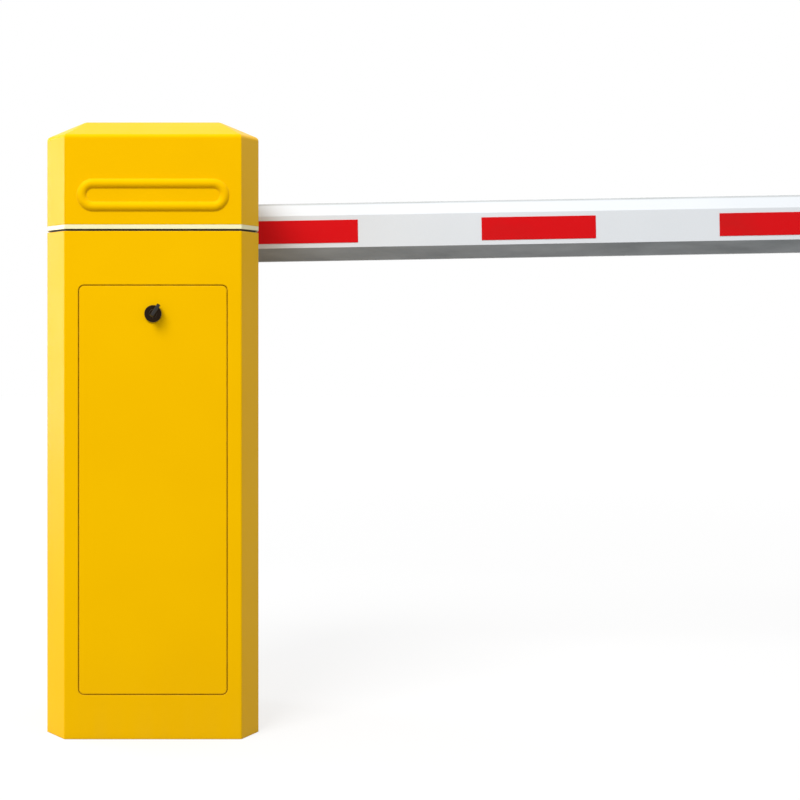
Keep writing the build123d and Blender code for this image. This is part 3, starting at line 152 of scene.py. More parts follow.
def cornerShadeAt(tree, reachMm):  # ambient occlusion: 1 deep in a corner where shade falls, 0 in the open; colour mixed in with it is painted shade
    node = addNode(tree, "ShaderNodeAmbientOcclusion", {"Distance": reachMm / 1000}, samples=6)
    return remap(tree, node.outputs["AO"], 0.35, 0.9, 1.0, 0.0)


# camera: square on to the column, framed off to the side as along the boom

cameraFacts = {"distance": 2.6, "eyeHeight": 0.657, "aside": -0.0015, "lens": 71.96, "sensor": 36.0,
               "shiftX": 0.31, "shiftY": -0.081, "farClip": 100.0}


def makeCamera(facts):
    low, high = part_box("cabinet_body")
    data = bpy.data.cameras.new("viewCamera")
    data.lens, data.sensor_width = facts["lens"], facts["sensor"]
    data.shift_x, data.shift_y = facts["shiftX"], facts["shiftY"]
    data.clip_end = facts["farClip"]
    camera = bpy.data.objects.new("viewCamera", data)
    middle = (low[0] + high[0]) / 2
    camera.location = (middle + facts["aside"], low[1] - facts["distance"], facts["eyeHeight"])
    camera.rotation_euler = (math.pi / 2, 0, 0)
    bpy.context.scene.collection.objects.link(camera)
    bpy.context.scene.camera = camera


makeCamera(cameraFacts)
print("camera placed")

# finishes, one recipe per family of real surface

coatHabits = {"wearMm": 7.0, "runsMm": 26.0, "shadeAndGrimeMm": 14.0, "streaksMm": 30.0, "topEdgeBandMm": 45.0,
              "wipedMm": 110.0, "scratchMm": 3.0, "wavesMm": 45.0, "wavesShare": 2.0, "dustDulls": 0.35,
              "dustFade": 2.2, "ior": 1.5}


def powderCoat(name, facts):
    # polyester powder on sheet metal: one even colour, half gloss, with the faint ripple of orange
    # peel in its reflections; it thins at the edges, where on the yellow a paler tone also paints a
    # highlight, and it takes dust low down. The pigment tints what it mirrors head on, so a face keeps
    # its hue and only a raking view goes pale
    material, tree, shader, place = newMaterial(name)
    cloud = remap(tree, noiseAt(tree, place, facts["cloudMm"], 2.0), 0.35, 0.65, 0.0, 1.0)
    colour = mixColours(tree, cloud, linearFromHex(facts["colour"]), linearFromHex(facts["colourDeep"]))
    edge, soft = edgesAt(tree, facts["edgeMm"])
    # edge colour: wear, and on the yellow coat also a painted highlight along every edge
    edgeWornAndLit = remap(tree, noiseAt(tree, place, coatHabits["wearMm"], 4.0), 0.3, 0.7, 0.0, facts["edgeWearAndHighlight"])
    edgeWornAndLit = combine(tree, "MULTIPLY", edge, edgeWornAndLit)
    colour = mixColours(tree, edgeWornAndLit, colour, linearFromHex(facts["edgeColour"]))
    # dust that rain leaves near the ground and in thin runs
    near = remap(tree, axisOf(tree, place, "Z"), 0.0, facts["dustHeight"], 1.0, 0.0)
    near = combine(tree, "POWER", near, coatHabits["dustFade"])
    runs = noiseAt(tree, place, coatHabits["runsMm"], 5.0, 0.6, (1.0, 1.0, 0.1))
    runs = remap(tree, runs, 0.35, 0.7, 0.25, 1.0)
    dust = combine(tree, "MULTIPLY", combine(tree, "MULTIPLY", near, runs), facts["dustAmount"])
    # painted shade with grime: a darker tone mixed into occluded corners, such as along the bead and the door
    # gap
    shadeAndGrime = combine(tree, "MULTIPLY", cornerShadeAt(tree, coatHabits["shadeAndGrimeMm"]), facts["cornerShadeAndGrime"])
    colour = mixColours(tree, dust, colour, linearFromHex(facts["dustColour"]))
    colour = mixColours(tree, shadeAndGrime, colour, linearFromHex(facts["shadeAndGrimeColour"]))
    if "sprayAndShade" in facts:  # road spray on whatever looks down, greyed so far that it also paints the shade under the boom
        streaks = noiseAt(tree, place, coatHabits["streaksMm"], 5.0, 0.6, (0.2, 1.0, 1.0))
        streaks = remap(tree, streaks, 0.3, 0.7, 0.75, 1.0)
        undersideFilmAndShade = combine(tree, "MULTIPLY", undersideShadeAt(tree), streaks)
        undersideFilmAndShade = combine(tree, "MULTIPLY", undersideFilmAndShade, facts["sprayAndShade"])
        colour = mixColours(tree, undersideFilmAndShade, colour, linearFromHex(facts["sprayAndShadeColour"]))
    if "soilAndEdgeBand" in facts:  # a grey band along the boom's top, reaching a little way over its edge
        topEdgeBand = noiseAt(tree, place, coatHabits["topEdgeBandMm"], 4.0, 0.6, (0.3, 1.0, 1.0))
        topEdgeBand = remap(tree, topEdgeBand, 0.3, 0.7, 0.6, 1.0)
        topEdgeBand = combine(tree, "MULTIPLY", boomTopAt(tree, place, facts), topEdgeBand)
        topEdgeBand = combine(tree, "MULTIPLY", topEdgeBand, facts["soilAndEdgeBand"])
        colour = mixColours(tree, topEdgeBand, colour, linearFromHex(facts["soilAndEdgeBandColour"]))
    tree.links.new(colour, shader.inputs["Base Color"])
    # wiped patches and fine scratches change the gloss a little
    wiped = remap(tree, noiseAt(tree, place, coatHabits["wipedMm"], 4.0), 0.3, 0.7, -0.04, 0.05)
    scratch = noiseAt(tree, place, coatHabits["scratchMm"], 2.0, 0.5, (1.0, 1.0, 0.06))
    scratch = remap(tree, scratch, 0.66, 0.72, 0.0, 0.08)
    rough = combine(tree, "ADD", combine(tree, "ADD", wiped, scratch), facts["roughness"])
    dulled = combine(tree, "MULTIPLY", dust, coatHabits["dustDulls"])
    rough = combine(tree, "ADD", rough, dulled, True)
    tree.links.new(rough, shader.inputs["Roughness"])
    waves = combine(tree, "MULTIPLY", noiseAt(tree, place, coatHabits["wavesMm"], 1.0),
                    coatHabits["wavesShare"])
    peel = combine(tree, "ADD", noiseAt(tree, place, facts["peelMm"], 1.0, 0.4), waves)
    tree.links.new(bumpFrom(tree, peel, facts["peelDepthMm"], soft), shader.inputs["Normal"])
    shader.inputs["IOR"].default_value = coatHabits["ior"]
    shader.inputs["Specular IOR Level"].default_value = facts["specular"]
    shader.inputs["Specular Tint"].default_value = linearFromHex(facts["glint"])
    return material


metalHabits = {"edgeMm": 0.6, "edgeHighlightShare": 0.5, "shadeAndDirtMm": 6.0, "shadeAndDirtColour": "1E1A15", "grainDulls": 0.07,
               "stainDulls": 0.2}


def bareMetal(name, facts):
    # metal with its own grain: drawn or ground lines, or the cells of plating, and handling marks; edges
    # lightened as painted highlight with wear, corners darkened as painted shade with dirt
    material, tree, shader, place = newMaterial(name)
    grain = noiseAt(tree, place, facts["grainMm"], 4.0, 0.6, facts.get("stretch"))
    cells = cellsAt(tree, place, facts["cellMm"], "Color") if "cellMm" in facts else grain
    tone = remap(tree, cells, 0.2, 0.8, 0.0, 1.0)
    colour = mixColours(tree, tone, linearFromHex(facts["colour"]), linearFromHex(facts["colourDeep"]))
    stain = remap(tree, noiseAt(tree, place, facts["stainMm"], 5.0, 0.65), 0.54, 0.72, 0.0, facts["stain"])
    colour = mixColours(tree, stain, colour, linearFromHex(facts["stainColour"]))
    edge, soft = edgesAt(tree, metalHabits["edgeMm"])
    # painted highlight with wear: every edge lightened evenly
    paintedEdgeHighlight = combine(tree, "MULTIPLY", edge, metalHabits["edgeHighlightShare"])
    colour = mixColours(tree, paintedEdgeHighlight, colour, linearFromHex(facts["edgeColour"]))
    # painted shade with dirt: near-black mixed into occluded corners
    shadeAndDirt = combine(tree, "MULTIPLY", cornerShadeAt(tree, metalHabits["shadeAndDirtMm"]), facts["shadeAndDirt"])
    colour = mixColours(tree, shadeAndDirt, colour, linearFromHex(metalHabits["shadeAndDirtColour"]))
    tree.links.new(colour, shader.inputs["Base Color"])
    spread = metalHabits["grainDulls"]
    rough = remap(tree, grain, 0.3, 0.7, facts["roughness"] - spread, facts["roughness"] + spread)
    dulled = combine(tree, "MULTIPLY", stain, metalHabits["stainDulls"])
    rough = combine(tree, "ADD", rough, dulled, True)
    tree.links.new(rough, shader.inputs["Roughness"])
    tree.links.new(bumpFrom(tree, grain, facts["bumpMm"], soft), shader.inputs["Normal"])
    shader.inputs["Metallic"].default_value = 1.0
    return material


def castPaint(name, facts):
    # thin machine enamel over a sand casting: the sand's grain shows through, edges rub to metal
    material, tree, shader, place = newMaterial(name)
    sand = noiseAt(tree, place, facts["sandMm"], 5.0, 0.65)
    blotch = remap(tree, noiseAt(tree, place, facts["blotchMm"], 3.0), 0.35, 0.65, 0.0, 1.0)
    colour = mixColours(tree, blotch, linearFromHex(facts["colour"]), linearFromHex(facts["colourDeep"]))
    edge, soft = edgesAt(tree, facts["edgeMm"])
    rubbed = combine(tree, "MULTIPLY", edge, remap(tree, sand, 0.45, 0.6, 0.0, facts["rub"]))
    colour = mixColours(tree, rubbed, colour, linearFromHex(facts["bareColour"]))
    # painted shade with oil: near-black mixed into occluded corners
    shadeAndOil = combine(tree, "MULTIPLY", cornerShadeAt(tree, facts["shadeAndOilMm"]), facts["shadeAndOil"])
    colour = mixColours(tree, shadeAndOil, colour, linearFromHex(facts["shadeAndOilColour"]))
    tree.links.new(colour, shader.inputs["Base Color"])
    tree.links.new(remap(tree, sand, 0.3, 0.7, facts["roughness"] - 0.08, facts["roughness"] + 0.1),
                   shader.inputs["Roughness"])
    tree.links.new(bumpFrom(tree, sand, facts["bumpMm"], soft), shader.inputs["Normal"])
    tree.links.new(combine(tree, "MULTIPLY", rubbed, 0.8), shader.inputs["Metallic"])
    return material


mouldHabits = {"edgeMm": 0.7, "dustAndShadeMm": 8.0, "ior": 1.46}


def mouldedPlastic(name, facts):
    # moulded plastic or rubber: a fine spark-eroded grain, scuffed paler at the edges, dust in corners, which
    # on the pale grey and red plastics is darker and paints shade there
    material, tree, shader, place = newMaterial(name)
    grain = noiseAt(tree, place, facts["grainMm"], 3.0, 0.6)
    tone = remap(tree, noiseAt(tree, place, facts["cloudMm"], 2.0), 0.35, 0.65, 0.0, 1.0)
    colour = mixColours(tree, tone, linearFromHex(facts["colour"]), linearFromHex(facts["colourDeep"]))
    edge, soft = edgesAt(tree, mouldHabits["edgeMm"])
    scuff = combine(tree, "MULTIPLY", edge, remap(tree, grain, 0.35, 0.65, 0.0, facts["scuff"]))
    colour = mixColours(tree, scuff, colour, linearFromHex(facts["scuffColour"]))
    # dust in occluded corners; where its colour is darker than the plastic it is painted shade
    dust = combine(tree, "MULTIPLY", cornerShadeAt(tree, mouldHabits["dustAndShadeMm"]), facts["dust"])
    colour = mixColours(tree, dust, colour, linearFromHex(facts["dustColour"]))
    tree.links.new(colour, shader.inputs["Base Color"])
    tree.links.new(remap(tree, grain, 0.3, 0.7, facts["roughness"] - 0.06, facts["roughness"] + 0.08),
                   shader.inputs["Roughness"])
    tree.links.new(bumpFrom(tree, grain, facts["bumpMm"], soft), shader.inputs["Normal"])
    shader.inputs["IOR"].default_value = facts.get("ior", mouldHabits["ior"])
    return material


def reflectiveTape(name, facts):
    # prismatic retro-reflective film: a diamond grid of sealed cells under a smooth clear face
    material, tree, shader, place = newMaterial(name)
    flat = addNode(tree, "ShaderNodeMapping", {"Vector": place, "Scale": (1.0, 0.02, 1.0)})
    across = flat.outputs["Vector"]
    diamond = addNode(tree, "ShaderNodeMapping", {"Vector": across, "Rotation": (0.0, math.pi / 4, 0.0)})
    web = cellsAt(tree, diamond.outputs["Vector"], facts["cellMm"], randomness=0.0,
                  feature="DISTANCE_TO_EDGE")
    inside = remap(tree, web, 0.03, 0.09, 0.0, 1.0)
    fine = cellsAt(tree, across, facts["prismMm"], "Color")
    colour = mixColours(tree, fine, linearFromHex(facts["colour"]), linearFromHex(facts["colourDeep"]))
    colour = mixColours(tree, inside, linearFromHex(facts["webColour"]), colour)
    soilAndEdgeBand = noiseAt(tree, place, facts["soilAndEdgeBandMm"], 5.0, 0.6, (0.4, 1.0, 1.0))
    soilAndEdgeBand = remap(tree, soilAndEdgeBand, 0.5, 0.8, 0.0, facts["soilAndEdgeBand"])
    colour = mixColours(tree, soilAndEdgeBand, colour, linearFromHex(facts["soilAndEdgeBandColour"]))
    tree.links.new(colour, shader.inputs["Base Color"])
    rough = combine(tree, "ADD", remap(tree, inside, 0.0, 1.0, 0.5, facts["roughness"]),
                    combine(tree, "MULTIPLY", soilAndEdgeBand, 0.4), True)
    tree.links.new(rough, shader.inputs["Roughness"])
    soft = edgesAt(tree, facts["edgeMm"])[1]
    tree.links.new(bumpFrom(tree, inside, facts["reliefMm"], soft), shader.inputs["Normal"])
    shader.inputs["Specular IOR Level"].default_value = facts["specular"]
    shader.inputs["Specular Tint"].default_value = linearFromHex(facts["glint"])
    shader.inputs["Coat Weight"].default_value = facts["coat"]
    shader.inputs["Coat Roughness"].default_value = facts["coatRoughness"]
    return material


def circuitBoard(name, facts):
    # solder mask over copper: tracks show as slightly raised, slightly paler lines
    material, tree, shader, place = newMaterial(name)
    tracks = cellsAt(tree, place, facts["trackMm"], feature="DISTANCE_TO_EDGE")
    line = remap(tree, tracks, 0.03, 0.06, 1.0, 0.0)
    colour = mixColours(tree, line, linearFromHex(facts["colour"]), linearFromHex(facts["trackColour"]))
    pads = remap(tree, cellsAt(tree, place, facts["padMm"]), 0.12, 0.16, 1.0, 0.0)
    colour = mixColours(tree, pads, colour, linearFromHex(facts["padColour"]))
    tree.links.new(colour, shader.inputs["Base Color"])
    tree.links.new(pads, shader.inputs["Metallic"])
    tree.links.new(remap(tree, line, 0.0, 1.0, 0.34, 0.26), shader.inputs["Roughness"])
    relief = combine(tree, "ADD", line, pads)
    tree.links.new(bumpFrom(tree, relief, facts["reliefMm"]), shader.inputs["Normal"])
    return material


# yellow: its corner colour paints shade along the bead and gaps, its pale edge colour a highlight
yellowFacts = {"colour": "FAC101", "colourDeep": "F7BD01", "edgeColour": "FFD84E", "dustColour": "C7A75A",
               "shadeAndGrimeColour": "A87C00", "cloudMm": 260.0, "edgeMm": 2.4, "edgeWearAndHighlight": 0.5, "dustHeight": 0.22,
               "dustAmount": 0.05, "cornerShadeAndGrime": 0.12, "roughness": 0.36, "peelMm": 2.4,
               "peelDepthMm": 0.05, "specular": 0.12, "glint": "FFC800"}
# white boom: its spray colour also paints the shade on its underside
whiteFacts = {"colour": "E7EBEF", "colourDeep": "E2E6EA", "edgeColour": "C3C7CA", "dustColour": "C9C5BA",
              "shadeAndGrimeColour": "9A968C", "cloudMm": 320.0, "edgeMm": 0.8, "edgeWearAndHighlight": 0.5, "dustHeight": 0.1,
              "dustAmount": 0.1, "cornerShadeAndGrime": 0.35, "roughness": 0.33, "peelMm": 2.0,
              "peelDepthMm": 0.03, "specular": 0.4, "glint": "FFFFFF", "sprayAndShade": 1.0, "sprayAndShadeColour": "828688",
              "soilAndEdgeBand": 0.85, "soilAndEdgeBandColour": "ADB1B0", "soilAndEdgeBandMm": 4.5, "pitch": 1.0}
greyFacts = {"colour": "5D6469", "colourDeep": "565C61", "edgeColour": "8D9498", "dustColour": "8A8578",
             "shadeAndGrimeColour": "25211B", "cloudMm": 160.0, "edgeMm": 0.8, "edgeWearAndHighlight": 0.5, "dustHeight": 0.2,
             "dustAmount": 0.3, "cornerShadeAndGrime": 0.5, "roughness": 0.45, "peelMm": 1.6,
             "peelDepthMm": 0.05, "specular": 0.5, "glint": "FFFFFF"}
trimFacts = {"colour": "FBF5C4", "colourDeep": "F6EFBC", "edgeColour": "FFFDE8", "dustColour": "C9C5BA",
             "shadeAndGrimeColour": "8C8468", "cloudMm": 90.0, "edgeMm": 0.6, "edgeWearAndHighlight": 0.2, "dustHeight": 0.1,
             "dustAmount": 0.1, "cornerShadeAndGrime": 0.3, "roughness": 0.35, "peelMm": 1.2,
             "peelDepthMm": 0.02, "specular": 0.5, "glint": "FFFFFF"}

# zinc plating on sheet: pale bluish grey with a faint crystal pattern
zincFacts = {"colour": "B9BDC0", "colourDeep": "A6ABAF", "stainColour": "8F8A7A", "edgeColour": "D5D8DA",
             "grainMm": 5.0, "cellMm": 9.0, "stainMm": 60.0, "stain": 0.35, "shadeAndDirt": 0.4, "roughness": 0.42,
             "bumpMm": 0.02}
# zinc-plated fasteners: brighter, with a yellowish passivation
boltFacts = {"colour": "CFCBBC", "colourDeep": "B9B7AF", "stainColour": "8C7A52", "edgeColour": "E6E4DC",
             "grainMm": 1.2, "stainMm": 8.0, "stain": 0.35, "shadeAndDirt": 0.55, "roughness": 0.32, "bumpMm": 0.01}
# ground shaft steel with fine turning lines and a film of oil
shaftFacts = {"colour": "C6C7C8", "colourDeep": "B2B4B5", "stainColour": "6E675A", "edgeColour": "E0E1E2",
              "grainMm": 0.5, "stainMm": 14.0, "stain": 0.15, "shadeAndDirt": 0.4, "roughness": 0.24, "bumpMm": 0.004,
              "stretch": (0.4, 1.0, 0.4)}
# gear bronze, slightly tarnished
bronzeFacts = {"colour": "C79D58", "colourDeep": "AE8241", "stainColour": "6B4A20", "edgeColour": "E2BE7C",
               "grainMm": 0.8, "stainMm": 12.0, "stain": 0.4, "shadeAndDirt": 0.6, "roughness": 0.33, "bumpMm": 0.008}
# oil-tempered spring wire: dark blue-grey, drawn along its length
springFacts = {"colour": "4A4C50", "colourDeep": "36373A", "stainColour": "5A4530", "edgeColour": "77797C",
               "grainMm": 0.8, "stainMm": 10.0, "stain": 0.3, "shadeAndDirt": 0.3, "roughness": 0.36, "bumpMm": 0.008}
# die-cast aluminium: dull silver with a soft skin
clampFacts = {"colour": "BFC2C4", "colourDeep": "ADB0B2", "stainColour": "8B8A84", "edgeColour": "DCDEDF",
              "grainMm": 1.4, "stainMm": 24.0, "stain": 0.3, "shadeAndDirt": 0.5, "roughness": 0.5, "bumpMm": 0.05}
# black-chromed lock face; its pale edges are wear that lets nickel through, and a painted highlight
lockFacts = {"colour": "35291F", "colourDeep": "1E1610", "stainColour": "120D09", "edgeColour": "B9A88C",
             "grainMm": 0.5, "stainMm": 5.0, "stain": 0.4, "shadeAndDirt": 0.4, "roughness": 0.28, "bumpMm": 0.006}

rubberFacts = {"colour": "1F1E1C", "colourDeep": "171615", "scuffColour": "3B3935", "dustColour": "5A5142",
               "grainMm": 0.9, "cloudMm": 30.0, "scuff": 0.5, "dust": 0.35, "roughness": 0.72, "bumpMm": 0.03,
               "ior": 1.52}
blackFacts = {"colour": "242528", "colourDeep": "1C1D1F", "scuffColour": "4A4B4E", "dustColour": "6A6456",
              "grainMm": 0.7, "cloudMm": 40.0, "scuff": 0.5, "dust": 0.3, "roughness": 0.5, "bumpMm": 0.03}
casingFacts = {"colour": "CDD0D1", "colourDeep": "C4C7C8", "scuffColour": "E5E6E6", "dustColour": "8A8474",
               "grainMm": 0.8, "cloudMm": 80.0, "scuff": 0.4, "dust": 0.35, "roughness": 0.46, "bumpMm": 0.02,
               "ior": 1.54}
knobFacts = {"colour": "BC2A20", "colourDeep": "A9221A", "scuffColour": "D8685C", "dustColour": "4A2A20",
             "grainMm": 0.8, "cloudMm": 30.0, "scuff": 0.4, "dust": 0.4, "roughness": 0.36, "bumpMm": 0.015}
keyFacts = {"colour": "140E0A", "colourDeep": "0E0A07", "scuffColour": "4E453C", "dustColour": "2A2014",
            "grainMm": 0.6, "cloudMm": 12.0, "scuff": 0.6, "dust": 0.2, "roughness": 0.34, "bumpMm": 0.012}

castFacts = {"colour": "5E666B", "colourDeep": "535A5F", "bareColour": "9A9B9C", "shadeAndOilColour": "17130E",
             "sandMm": 2.2, "blotchMm": 40.0, "edgeMm": 1.2, "rub": 0.9, "shadeAndOilMm": 12.0, "shadeAndOil": 0.7,
             "roughness": 0.45, "bumpMm": 0.16}
tapeFacts = {"colour": "E5171D", "colourDeep": "DC1117", "webColour": "C90E14", "soilAndEdgeBandColour": "8E2A22",
             "cellMm": 4.5, "prismMm": 0.5, "roughness": 0.3, "reliefMm": 0.03, "specular": 0.4,
             "glint": "FF2A20", "coat": 0.06, "coatRoughness": 0.12, "soilAndEdgeBandMm": 70.0, "soilAndEdgeBand": 0.25,
             "edgeMm": 0.3}
boardFacts = {"colour": "1C5A33", "trackColour": "3F8C52", "padColour": "C9B27A", "trackMm": 6.0,
              "padMm": 4.0, "reliefMm": 0.05}

finishes = {
    "yellow_paint": powderCoat("powderCoatedSteelYellow", yellowFacts),
    "white_boom": powderCoat("powderCoatedAluminiumWhite", whiteFacts),
    "grey_paint": powderCoat("powderCoatedSteelGrey", greyFacts),
    "zinc_plate": bareMetal("zincPlatedSheet", zincFacts),
    "trim_aluminium": powderCoat("ivoryLacqueredAluminium", trimFacts),
    "bolt_steel": bareMetal("zincPlatedFastener", boltFacts),
    "shaft_steel": bareMetal("groundShaftSteel", shaftFacts),
    "bronze": bareMetal("gearBronze", bronzeFacts),
    "spring_steel": bareMetal("oilTemperedSpringWire", springFacts),
    "clamp_aluminium": bareMetal("dieCastAluminium", clampFacts),
    "lock_chrome": bareMetal("blackChromedZinc", lockFacts),
    "cast_grey": castPaint("enamelledCastIron", castFacts),
    "red_reflective": reflectiveTape("prismaticRedFilm", tapeFacts),
    "board_green": circuitBoard("solderMaskedBoard", boardFacts),
    "seal_rubber": mouldedPlastic("epdmRubber", rubberFacts),
    "black_plastic": mouldedPlastic("blackPolyamide", blackFacts),
    "grey_plastic": mouldedPlastic("greyPolycarbonate", casingFacts),
    "red_plastic": mouldedPlastic("redPolyamide", knobFacts),
    "key_black": mouldedPlastic("blackKeyBow", keyFacts),
}

slotOf = {entry["node"]: entry["material_slot"] for entry in frame["record"]["subparts"]}
for nodeName, cadObject in frame["nodes"].items():
    for slot in cadObject.material_slots:
        slot.material = finishes[slotOf[nodeName]]
print("finishes on", len(slotOf), "nodes")

# helpers for pieces

def addPiece(name, mesh, finish, body, replaced=(), smooth=True):
    piece = bpy.data.objects.new(name, mesh)
    bpy.context.scene.collection.objects.link(piece)
    mesh.materials.clear()
    mesh.materials.append(finishes[finish])
    for polygon in mesh.polygons:
        polygon.use_smooth = smooth
    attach(piece, body)
    if replaced:
        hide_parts(*replaced)
    return piece


def meshOfWire(points, radius, steps):  # a round wire through the points
    curve = bpy.data.curves.new("wirePath", "CURVE")
    curve.dimensions = "3D"
    curve.bevel_depth = radius
    curve.bevel_resolution = steps
    curve.use_fill_caps = True
    spline = curve.splines.new("POLY")
    spline.points.add(len(points) - 1)
    for point, place in zip(spline.points, points):
        point.co = (*place, 1.0)
    holder = bpy.data.objects.new("wirePath", curve)
    mesh = bpy.data.meshes.new_from_object(holder)
    bpy.data.objects.remove(holder)
    bpy.data.curves.remove(curve)
    return mesh


# balance spring: a close-wound coil with an open hook at each end

springShape = {"wire": 0.004, "coilRadius": 0.013, "turns": 46, "hookHalfWidth": 0.0095,
               "coilTopBelowBox": 0.010, "coilBottomAboveBox": 0.011, "topHook": 0.0132, "bottomHook": 0.014,
               "perTurn": 20, "easeSteps": 12, "neck": 0.004, "travelDrop": 0.11215}


def springPoints(facts, low, high):
    middle = (low + high) / 2
    bottom, top = low.z + facts["coilBottomAboveBox"], high.z - facts["coilTopBelowBox"]
    half = facts["hookHalfWidth"]
    points = []
    for angle in range(-30, 181, 15):  # bottom hook, from its open end round to the coil
        a = math.radians(angle)
        z = low.z - facts["bottomHook"] + half - half * math.sin(a)
        points.append(Vector((middle.x, middle.y + half * math.cos(a), z)))
    points.append(Vector((middle.x, middle.y - half, bottom - facts["neck"])))
    count = facts["turns"] * facts["perTurn"]
    for step in range(count + 1):
        a = 2 * math.pi * step / facts["perTurn"] - math.pi / 2
        ease = min(1.0, step / facts["easeSteps"], (count - step) / facts["easeSteps"])
        radius = half + (facts["coilRadius"] - half) * ease
        points.append(Vector((middle.x + radius * math.cos(a), middle.y + radius * math.sin(a),
                              bottom + (top - bottom) * step / count)))
    points.append(Vector((middle.x, middle.y - half, top + facts["neck"])))
    for angle in range(180, -31, -15):  # top hook, over and through the hanger
        a = math.radians(angle)
        z = high.z + facts["topHook"] - half + half * math.sin(a)
        points.append(Vector((middle.x, middle.y + half * math.cos(a), z)))
    return points


springLow, springHigh = (Vector(v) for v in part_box("balance_spring"))
springMesh = meshOfWire(springPoints(springShape, springLow, springHigh), springShape["wire"] / 2, 3)
spring = addPiece("balanceSpringCoil", springMesh, "spring_steel", "root", ["balance_spring"])
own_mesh(spring)
print("spring wound,", len(springMesh.vertices), "vertices")

# key: a moulded bow with a hole for its ring, on a steel blade

keyShape = {"angle": 33.0, "thickness": 0.006, "reach": 0.018, "behind": 0.0055, "length": 0.020,
            "corner": 0.0055, "hole": 0.0028, "holeAt": 0.0118, "edge": 0.0011, "bladeWidth": 0.007,
            "bladeThickness": 0.0024, "bladeSunk": 0.004, "bladeEdge": 0.0004}


def roundedOutline(low, high, corner, steps):
    corners = ((high[0] - corner, high[1] - corner, 0), (low[0] + corner, high[1] - corner, 90),
               (low[0] + corner, low[1] + corner, 180), (high[0] - corner, low[1] + corner, 270))
    angles = [(x, y, math.radians(start + 90 * step / steps)) for x, y, start in corners
              for step in range(steps + 1)]
    return [(x + corner * math.cos(a), y + corner * math.sin(a)) for x, y, a in angles]


def ringOutline(x, y, radius, steps):
    angles = [2 * math.pi * step / steps for step in range(steps)]
    return [(x + radius * math.cos(a), y + radius * math.sin(a)) for a in angles]


def plateMesh(outlines, thickness, edge):  # a flat plate with holes, rolled over at its edges
    curve = bpy.data.curves.new("plateOutline", "CURVE")
    curve.dimensions = "2D"
    curve.fill_mode = "BOTH"
    curve.extrude = thickness / 2 - edge
    curve.bevel_depth = edge
    curve.bevel_resolution = 3
    curve.offset = -edge
    for outline in outlines:
        spline = curve.splines.new("POLY")
        spline.points.add(len(outline) - 1)
        for point, place in zip(spline.points, outline):
            point.co = (*place, 0.0, 1.0)
        spline.use_cyclic_u = True
    holder = bpy.data.objects.new("plateOutline", curve)
    mesh = bpy.data.meshes.new_from_object(holder)
    bpy.data.objects.remove(holder)
    bpy.data.curves.remove(curve)
    return mesh


def keyBladeMesh(facts, length):
    mesh = bpy.data.meshes.new("keyBlade")
    blade = bmesh.new()
    bmesh.ops.create_cube(blade, size=1.0)
    bmesh.ops.scale(blade, vec=(facts["bladeWidth"], length, facts["bladeThickness"]), verts=blade.verts)
    bmesh.ops.bevel(blade, geom=blade.edges[:], offset=facts["bladeEdge"], segments=2, affect="EDGES")
    blade.to_mesh(mesh)
    blade.free()
    return mesh


keyLow, keyHigh = (Vector(v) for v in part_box("lock_key"))
plugLow, plugHigh = (Vector(v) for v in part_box("lock_plug"))
lockCentre = (plugLow + plugHigh) / 2
keyAngle = math.radians(keyShape["angle"])
keyOut, keyIn = Vector((math.sin(keyAngle), 0, math.cos(keyAngle))), Vector((0, 1, 0))
keyTurn = Matrix((keyOut, keyIn, keyOut.cross(keyIn))).transposed().to_4x4()
bowOutline = roundedOutline((-keyShape["behind"], 0.0), (keyShape["reach"], keyShape["length"]),
                            keyShape["corner"], 6)
bowHole = ringOutline(keyShape["holeAt"], keyShape["length"] / 2, keyShape["hole"], 24)
bowMesh = plateMesh([bowOutline, bowHole], keyShape["thickness"], keyShape["edge"])
bowMesh.transform(Matrix.Translation((lockCentre.x, keyLow.y, lockCentre.z)) @ keyTurn)
addPiece("keyBow", bowMesh, "key_black", "lock", ["lock_key"], smooth=False)
bladeStart = keyLow.y + keyShape["length"] - keyShape["bladeSunk"]
bladeMesh = keyBladeMesh(keyShape, keyHigh.y - bladeStart)
bladeMesh.transform(Matrix.Translation((lockCentre.x, (bladeStart + keyHigh.y) / 2, lockCentre.z)) @ keyTurn)
addPiece("keyBlade", bladeMesh, "bolt_steel", "lock", smooth=False)
print("key cut")

# floor, world and lamps

stageFacts = {"floorColour": "7C7C7C", "floorGlow": 0.76, "floorGlowFar": 0.86, "glowNearAt": 2.0,
              "glowFarAt": 7.0, "ambient": 0.74, "reach": 14.0}


def seenDirectly(tree):  # 1 for what the camera, a reflection or clear glass sees
    path = addNode(tree, "ShaderNodeLightPath")
    seen = combine(tree, "MAXIMUM", path.outputs["Is Camera Ray"], path.outputs["Is Glossy Ray"])
    return combine(tree, "MAXIMUM", seen, path.outputs["Is Transmission Ray"])


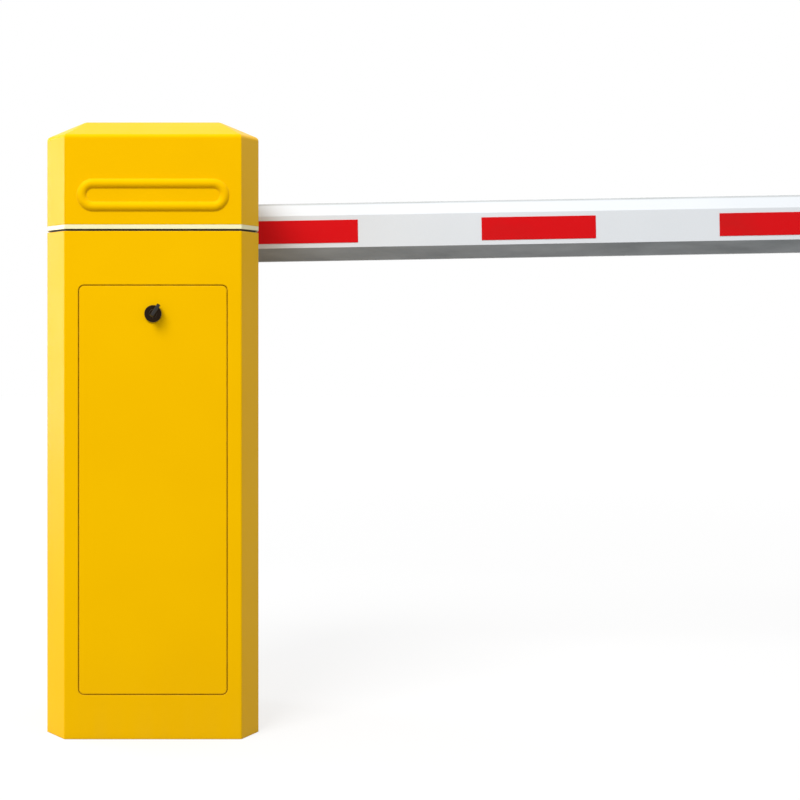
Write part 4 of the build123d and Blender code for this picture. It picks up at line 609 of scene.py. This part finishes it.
def makeFloor(facts):
    mesh = bpy.data.meshes.new("studioFloor")
    reach = facts["reach"]
    mesh.from_pydata([(-reach, -reach, 0), (reach, -reach, 0), (reach, reach, 0), (-reach, reach, 0)], [],
                     [(0, 1, 2, 3)])
    floor = bpy.data.objects.new("studioFloor", mesh)
    bpy.context.scene.collection.objects.link(floor)
    material, tree, shader, place = newMaterial("paleStudioFloor")
    shader.inputs["Roughness"].default_value = 0.95
    shader.inputs["Specular IOR Level"].default_value = 0.0
    shader.inputs["Base Color"].default_value = linearFromHex(facts["floorColour"])
    away = addNode(tree, "ShaderNodeVectorMath", {0: place}, operation="LENGTH").outputs["Value"]
    # dimmer by the foot, so that the shadow still shows there
    glowAt = remap(tree, away, facts["glowNearAt"], facts["glowFarAt"], facts["floorGlow"],
                   facts["floorGlowFar"])
    strength = combine(tree, "MULTIPLY", seenDirectly(tree), glowAt)
    glow = addNode(tree, "ShaderNodeEmission", {"Color": (1, 1, 1, 1), "Strength": strength})
    both = addNode(tree, "ShaderNodeAddShader", {0: shader.outputs[0], 1: glow.outputs[0]})
    tree.links.new(both.outputs[0], tree.nodes["Material Output"].inputs["Surface"])
    mesh.materials.append(material)


def makeWorld(facts):
    world = bpy.data.worlds.new("studio")
    bpy.context.scene.world = world
    world.use_nodes = True
    tree = world.node_tree
    tree.nodes["Background"].inputs["Color"].default_value = (1, 1, 1, 1)
    tree.links.new(remap(tree, seenDirectly(tree), 0.0, 1.0, facts["ambient"], 1.0),
                   tree.nodes["Background"].inputs["Strength"])


def addLamp(name, facts):
    data = bpy.data.lights.new(name, "AREA")
    data.shape = "RECTANGLE"
    data.size, data.size_y = facts["size"]
    data.energy = facts["power"]
    lamp = bpy.data.objects.new(name, data)
    lamp.location = facts["place"]
    aim = Vector(facts["aim"]) - Vector(facts["place"])
    lamp.rotation_euler = aim.to_track_quat("-Z", "Y").to_euler()
    bpy.context.scene.collection.objects.link(lamp)


keyLampFacts = {"place": (-2.5, -4.35, 5.98), "aim": (0.2, 0.0, 0.5), "size": (3.0, 3.0), "power": 435}
sideLampFacts = {"place": (-4.0, 1.9, 0.7), "aim": (0.0, 0.0, 0.6), "size": (2.2, 4.2), "power": 150}

makeFloor(stageFacts)
makeWorld(stageFacts)
addLamp("keyLamp", keyLampFacts)
addLamp("sideLamp", sideLampFacts)
bpy.context.scene.view_settings.view_transform = "Standard"
print("light set")
